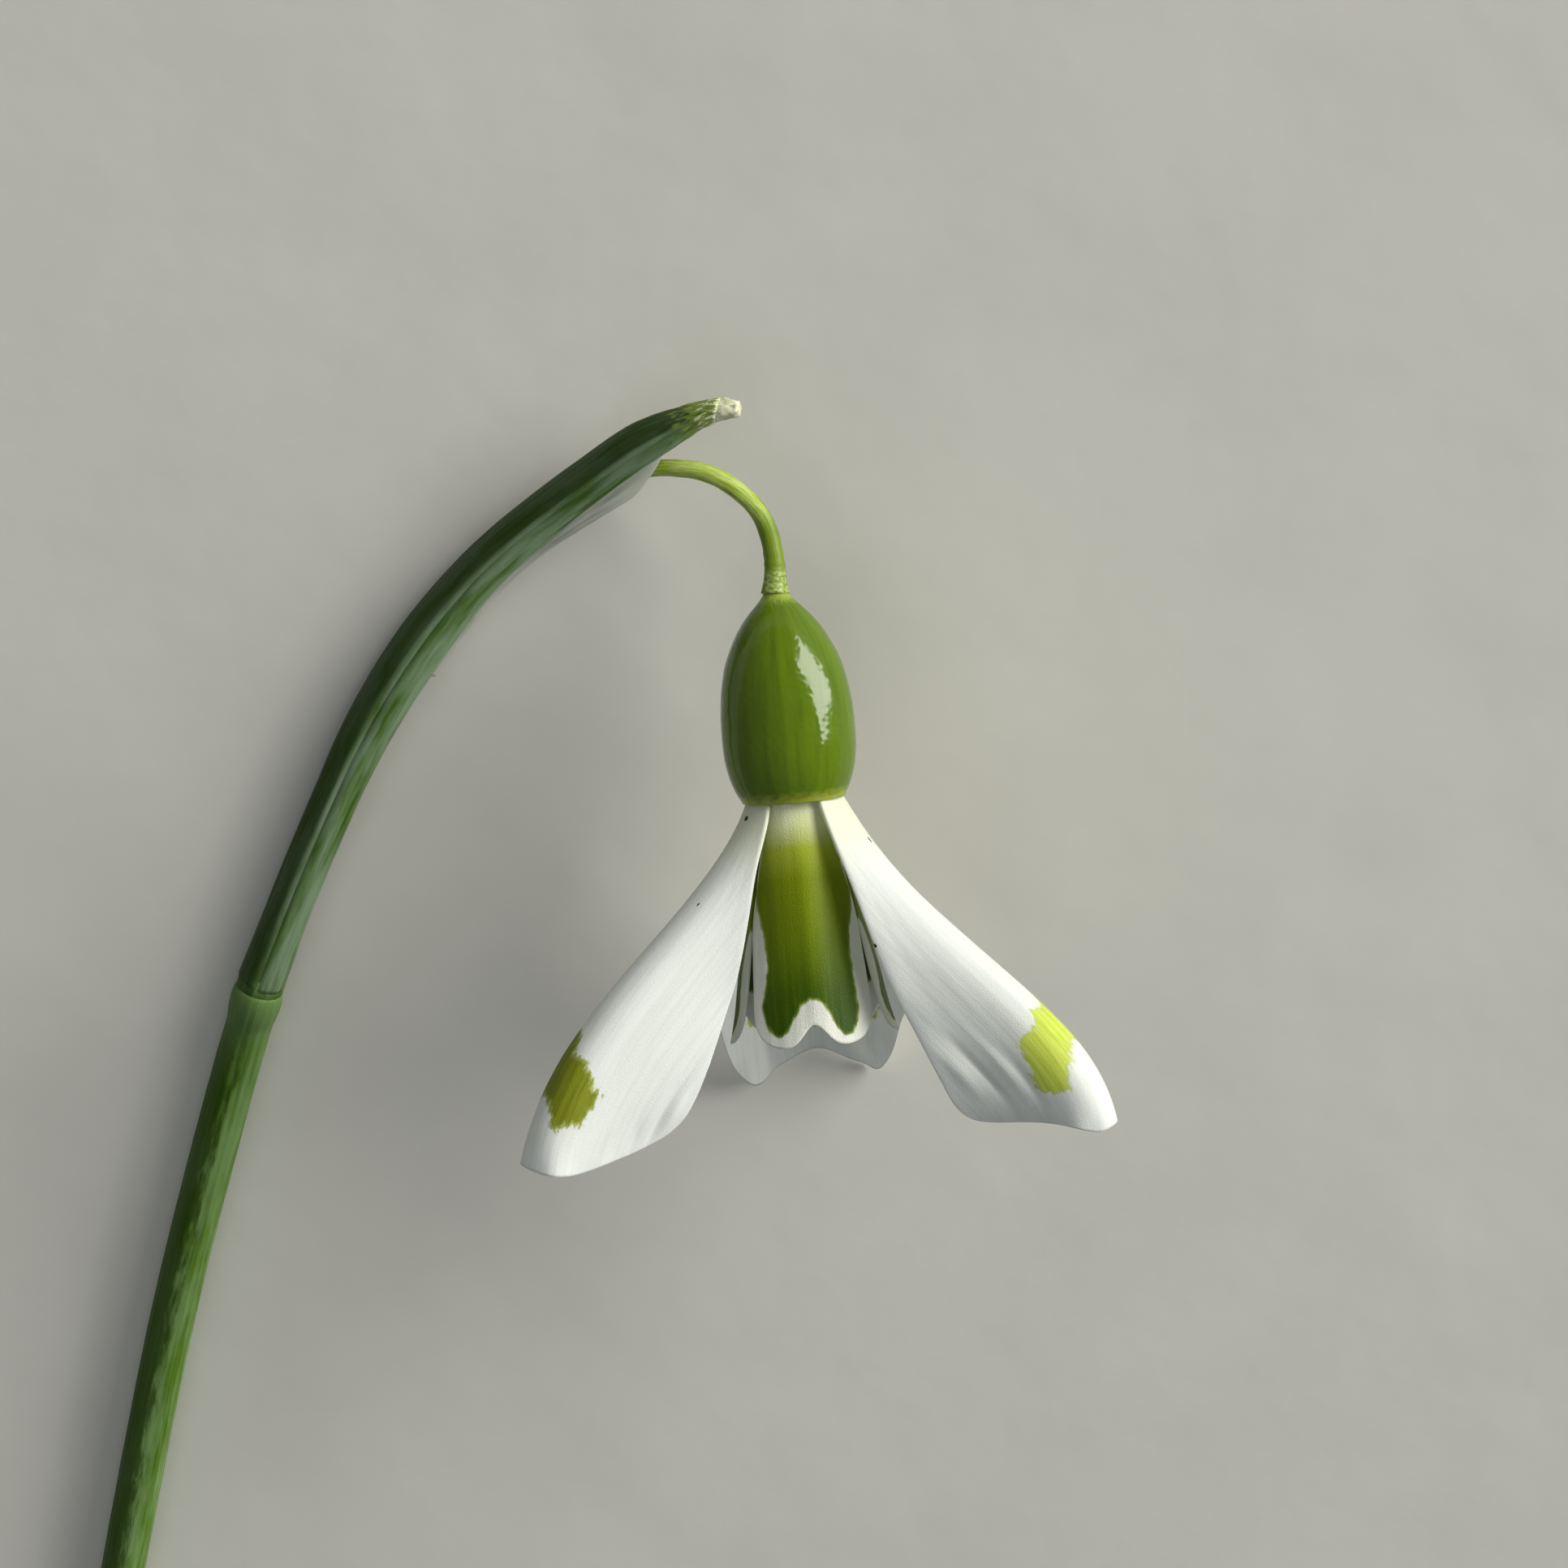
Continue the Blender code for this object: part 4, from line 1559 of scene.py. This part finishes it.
@dataclass(frozen=True)
class Pedicel:
    """The thread-like stalk from the spathe to the ovary, ringed with wrinkles at its lower end.

    Wrinkle and knob are the heights of its relief in mm.
    """

    route: Route = Route(as_knots([
        (-31.3, -16.5, 1.46), (-27.9, -8.1, 1.44), (-23.4, 1.4, 1.43), (-17.45, 9.7, 1.75),
        (-12.3, 14.45, 2.68), (-10.1, 15.95, 3.2), (-8.4, 16.6, 3.54), (-7.1, 16.9, 3.88),
        (-5.35, 16.88, 4.22), (-4.0, 16.43, 4.42), (-2.82, 15.55, 4.52), (-1.95, 14.65, 4.78),
        (-1.42, 13.65, 5.2), (-1.14, 12.6, 5.75), (-1.05, 11.8, 6.15), (-1.035, 10.6, 6.75),
    ]))
    radius: Knots = (
        (0, 0.43), (0.75, 0.43), (0.83, 0.5), (0.9, 0.5), (0.95, 0.54), (0.972, 0.57), (0.988, 0.64),
        (1, 0.8),
    )
    rows: int = 420
    wrinkle: float = 0.03
    wrinkle_place: float = 0.972
    knob: float = 0.022

    def relief(self, angle: float, at: float) -> float:
        """Ring wrinkles near the ovary and a knobbly skin.

        Args:
            angle: the angle round the stalk.
            at: 0..1 along it.

        Returns:
            The height, in mm.
        """
        ringed = max(0.0, math.sin(at * 520 + grain(at * 90, angle * 0.6, 3))) ** 2
        rings = self.wrinkle * ringed * hill(at, self.wrinkle_place, 0.02)
        return rings + self.knob * grain(angle * 1.4, at * 70, 2)

    def build(self, turn: Matrix) -> None:
        """Makes the stalk.

        Args:
            turn: takes the modelling millimetres to the row frame's.
        """
        # Its thin skin is a little glossy and lets some light through, so the bend looks bright.
        finish = PedicelFinish(
            "pedicel_skin", deep="#86A01C", light="#ABC03E", bloom="#D4E292", bloom_share=0.5,
            streak=(0.2, 2.5), depth=0.03, roughness=0.4, length=self.route.length(),
            coat=0.2, coat_roughness=0.2, through=0.1, patch=(0.25, 1.4),
        ).material()
        places = [step / self.rows for step in range(self.rows + 1)]
        rings = [(0.0, 0.0), *((place, along(self.radius, place)) for place in places), (1.0, 0.0)]
        made = Rod("pedicel_tissue", self.route, rings, 32, self.relief).grow(turn, finish)
        joined(made, "pedicel", "pedicel")


@dataclass(frozen=True)
class Scape:
    """The flowering stem, finely ridged, with a swollen node under the spathe and a clean cut end.

    Shoulder rounds its last rings, and cut_rings are those of its cut face. Points are where its
    middle lies on the ground.
    """

    radius: float = 1.37
    node: float = 1.52
    node_length: float = 2.4
    shoulder: tuple[float, ...] = (0.995, 0.98, 0.95)
    cut_rings: tuple[Pair, ...] = ((0.0, 0.0), (0.0, 0.5), (0.0, 1.0), (0.0, 1.28), (0.0006, 1.36))
    rows: int = 300
    points: Sequence[Pair] = (
        (-46.3, -77.0), (-42.5, -59.4), (-38.3, -41.0), (-34.4, -26.7), (-31.6, -17.4),
    )

    def swell(self, at: float, length: float) -> float:
        """Radius of the stem.

        Args:
            at: 0..1 along it.
            length: its length, in mm.

        Returns:
            The radius, in mm.
        """
        near = max(0.0, 1 - (1 - at) * length / self.node_length)
        return self.radius + (self.node - self.radius) * math.sin(min(near * 1.5, 1) * math.pi / 2)

    @staticmethod
    def relief(angle: float, at: float) -> float:
        """Fine ridges along the stem, in mm."""
        return 0.014 * math.cos(angle * 17) + 0.02 * grain(angle, at * 30, 1)

    def build(self, turn: Matrix) -> None:
        """Makes the stem and its core.

        Args:
            turn: takes the modelling millimetres to the row frame's.
        """
        flat = as_knots([(x, y, 0) for x, y in self.points])
        length = sum((b[1] - a[1]).length for a, b in zip(flat, flat[1:]))
        knots = []
        for step in range(61):
            point = along(flat, step / 60)
            point.z = self.swell(step / 60, length)
            knots.append((step / 60, point))
        rings = list(self.cut_rings)
        side = [(step / self.rows, self.swell(step / self.rows, length)) for step in range(1, self.rows)]
        plain = len(side) - len(self.shoulder)
        rings += side[:plain]
        rings += [(place, radius * share) for (place, radius), share in zip(side[plain:], self.shoulder)]
        rings += [(1.0, 1.36), (1.0, 0.0)]
        # The stem's skin is fresher than the spathe's, with its wax rubbed off in long patches.
        finish = ScapeFinish(
            "scape_skin", deep="#46660F", light="#5F842A", bloom="#8CAC72", bloom_share=0.5,
            streak=(0.28, 8.0), depth=0.03, roughness=0.45, length=62.0, patch=(1.8, 9.0),
        ).material()
        made = Rod("scape_tissue", Route(knots), rings, 72, self.relief).grow(turn, finish)
        joined(made, "scape", "scape")
        # A short core carries the tissue on from the node into the foot of the spathe.
        core = Route([(0.0, Vector((-31.7, -17.75, 1.5))), (1.0, Vector((-31.26, -16.4, 1.46)))])
        core_rings = [(0.0, 0.0), (0.0, 1.37), (0.5, 1.39), (1.0, 1.37), (1.0, 0.0)]
        joined(Rod("scape_core", core, core_rings, 72, self.relief).grow(turn, finish), "scape")


@dataclass(frozen=True)
class Lamp:
    """A soft area light aimed at the flower: direction from it, distance and size in metres.

    Power is in watts, and mirrored says whether shiny skin shows it.
    """

    name: str
    direction: tuple[float, float, float]
    distance: float
    width: float
    height: float
    power: float
    colour: str
    mirrored: bool = True

    def build(self, target: Vector) -> None:
        """Makes the light.

        Args:
            target: the point it is aimed at, in metres.
        """
        data = bpy.data.lights.new(self.name, "AREA")
        data.shape = "RECTANGLE"
        data.size = self.width
        data.size_y = self.height
        data.energy = self.power
        data.color = linear(self.colour)[:3]
        made = bpy.data.objects.new(self.name, data)
        bpy.context.scene.collection.objects.link(made)
        made.visible_glossy = self.mirrored
        way = Vector(self.direction).normalized()
        made.location = target + way * self.distance
        made.rotation_euler = way.to_track_quat("Z", "Y").to_euler()


@dataclass(frozen=True)
class Studio:
    """Pale surface, window-like key light from the right, soft fill and the camera.

    Lens and sensor are in mm, as are the camera's distance from the flower head and its slide to the
    right and up.
    """

    lens: float = 100.0
    sensor: float = 36.0
    distance: float = 241.5
    tilt: float = math.radians(27.0)
    slide: Pair = (-0.54, 0.855)
    lamps: tuple[Lamp, ...] = (
        Lamp("window", (0.79, 0.57, 0.24), 1.3, 1.15, 0.8, 28.5, "#FFFDF8"),
        Lamp("room_fill", (-0.25, 0.1, 1.0), 0.9, 0.9, 0.9, 1.1, "#F6F8FF", mirrored=False),
    )
    world: str = "#A9ADB2"
    world_strength: float = 0.36

    def build(self, offset: Vector) -> None:
        """Makes the stage round the flower head.

        Args:
            offset: the modelling origin in the row frame, in mm.
        """
        grid = bmesh.new()
        bmesh.ops.create_grid(grid, x_segments=1, y_segments=1, size=1.6)
        mesh = bpy.data.meshes.new("surface")
        grid.to_mesh(mesh)
        grid.free()
        mesh.materials.append(SurfaceFinish("pale_surface", "#E3E1D6", "#DFDDD2").material())
        surface = bpy.data.objects.new("surface", mesh)
        bpy.context.scene.collection.objects.link(surface)
        head = offset + Vector((0, 0, HEAD_HEIGHT))
        for lamp in self.lamps:
            lamp.build(head * MM)
        world = bpy.data.worlds.new("room")
        world.use_nodes = True
        world.node_tree.nodes["Background"].inputs["Color"].default_value = linear(self.world)
        world.node_tree.nodes["Background"].inputs["Strength"].default_value = self.world_strength
        bpy.context.scene.world = world
        right = Vector((1, 0, 0))
        up = Vector((0, math.cos(self.tilt), -math.sin(self.tilt)))
        back = Vector((0, math.sin(self.tilt), math.cos(self.tilt)))
        data = bpy.data.cameras.new("camera")
        data.lens = self.lens
        data.sensor_width = self.sensor
        data.clip_start = 0.01
        camera = bpy.data.objects.new("camera", data)
        bpy.context.scene.collection.objects.link(camera)
        place = (head + right * self.slide[0] + up * self.slide[1] + back * self.distance) * MM
        camera.matrix_world = Matrix.Translation(place) @ Matrix((right, up, back)).transposed().to_4x4()
        bpy.context.scene.camera = camera
        bpy.context.scene.view_settings.view_transform = "Standard"


def clear_startup() -> None:
    """Removes the startup scene's cube, light and camera."""
    for name in ("Cube", "Light", "Camera"):
        found = bpy.data.objects.get(name)
        if found:
            bpy.data.objects.remove(found)


def main() -> None:
    """Builds the flower, then the stage, in order."""
    logging.basicConfig(level=logging.INFO, format="%(name)s %(message)s")
    clear_startup()
    offset = fit_offset()
    LOG.info("modelling origin at %s mm", tuple(round(part, 3) for part in offset))
    stem = Matrix.Translation(offset)
    head = stem @ HEAD_FRAME
    spathe = Spathe()
    Scape().build(stem)
    spathe.build(stem)
    Membrane(spathe).build(stem)
    Pedicel().build(stem)
    Ovary().build(head)
    for shape in OUTER_TEPALS:
        OuterTepal(shape).build(head)
    for tepal in INNER_TEPALS:
        tepal.build(head)
    Centre().build(head)
    Studio().build(offset)


if __name__ == "__main__":
    main()
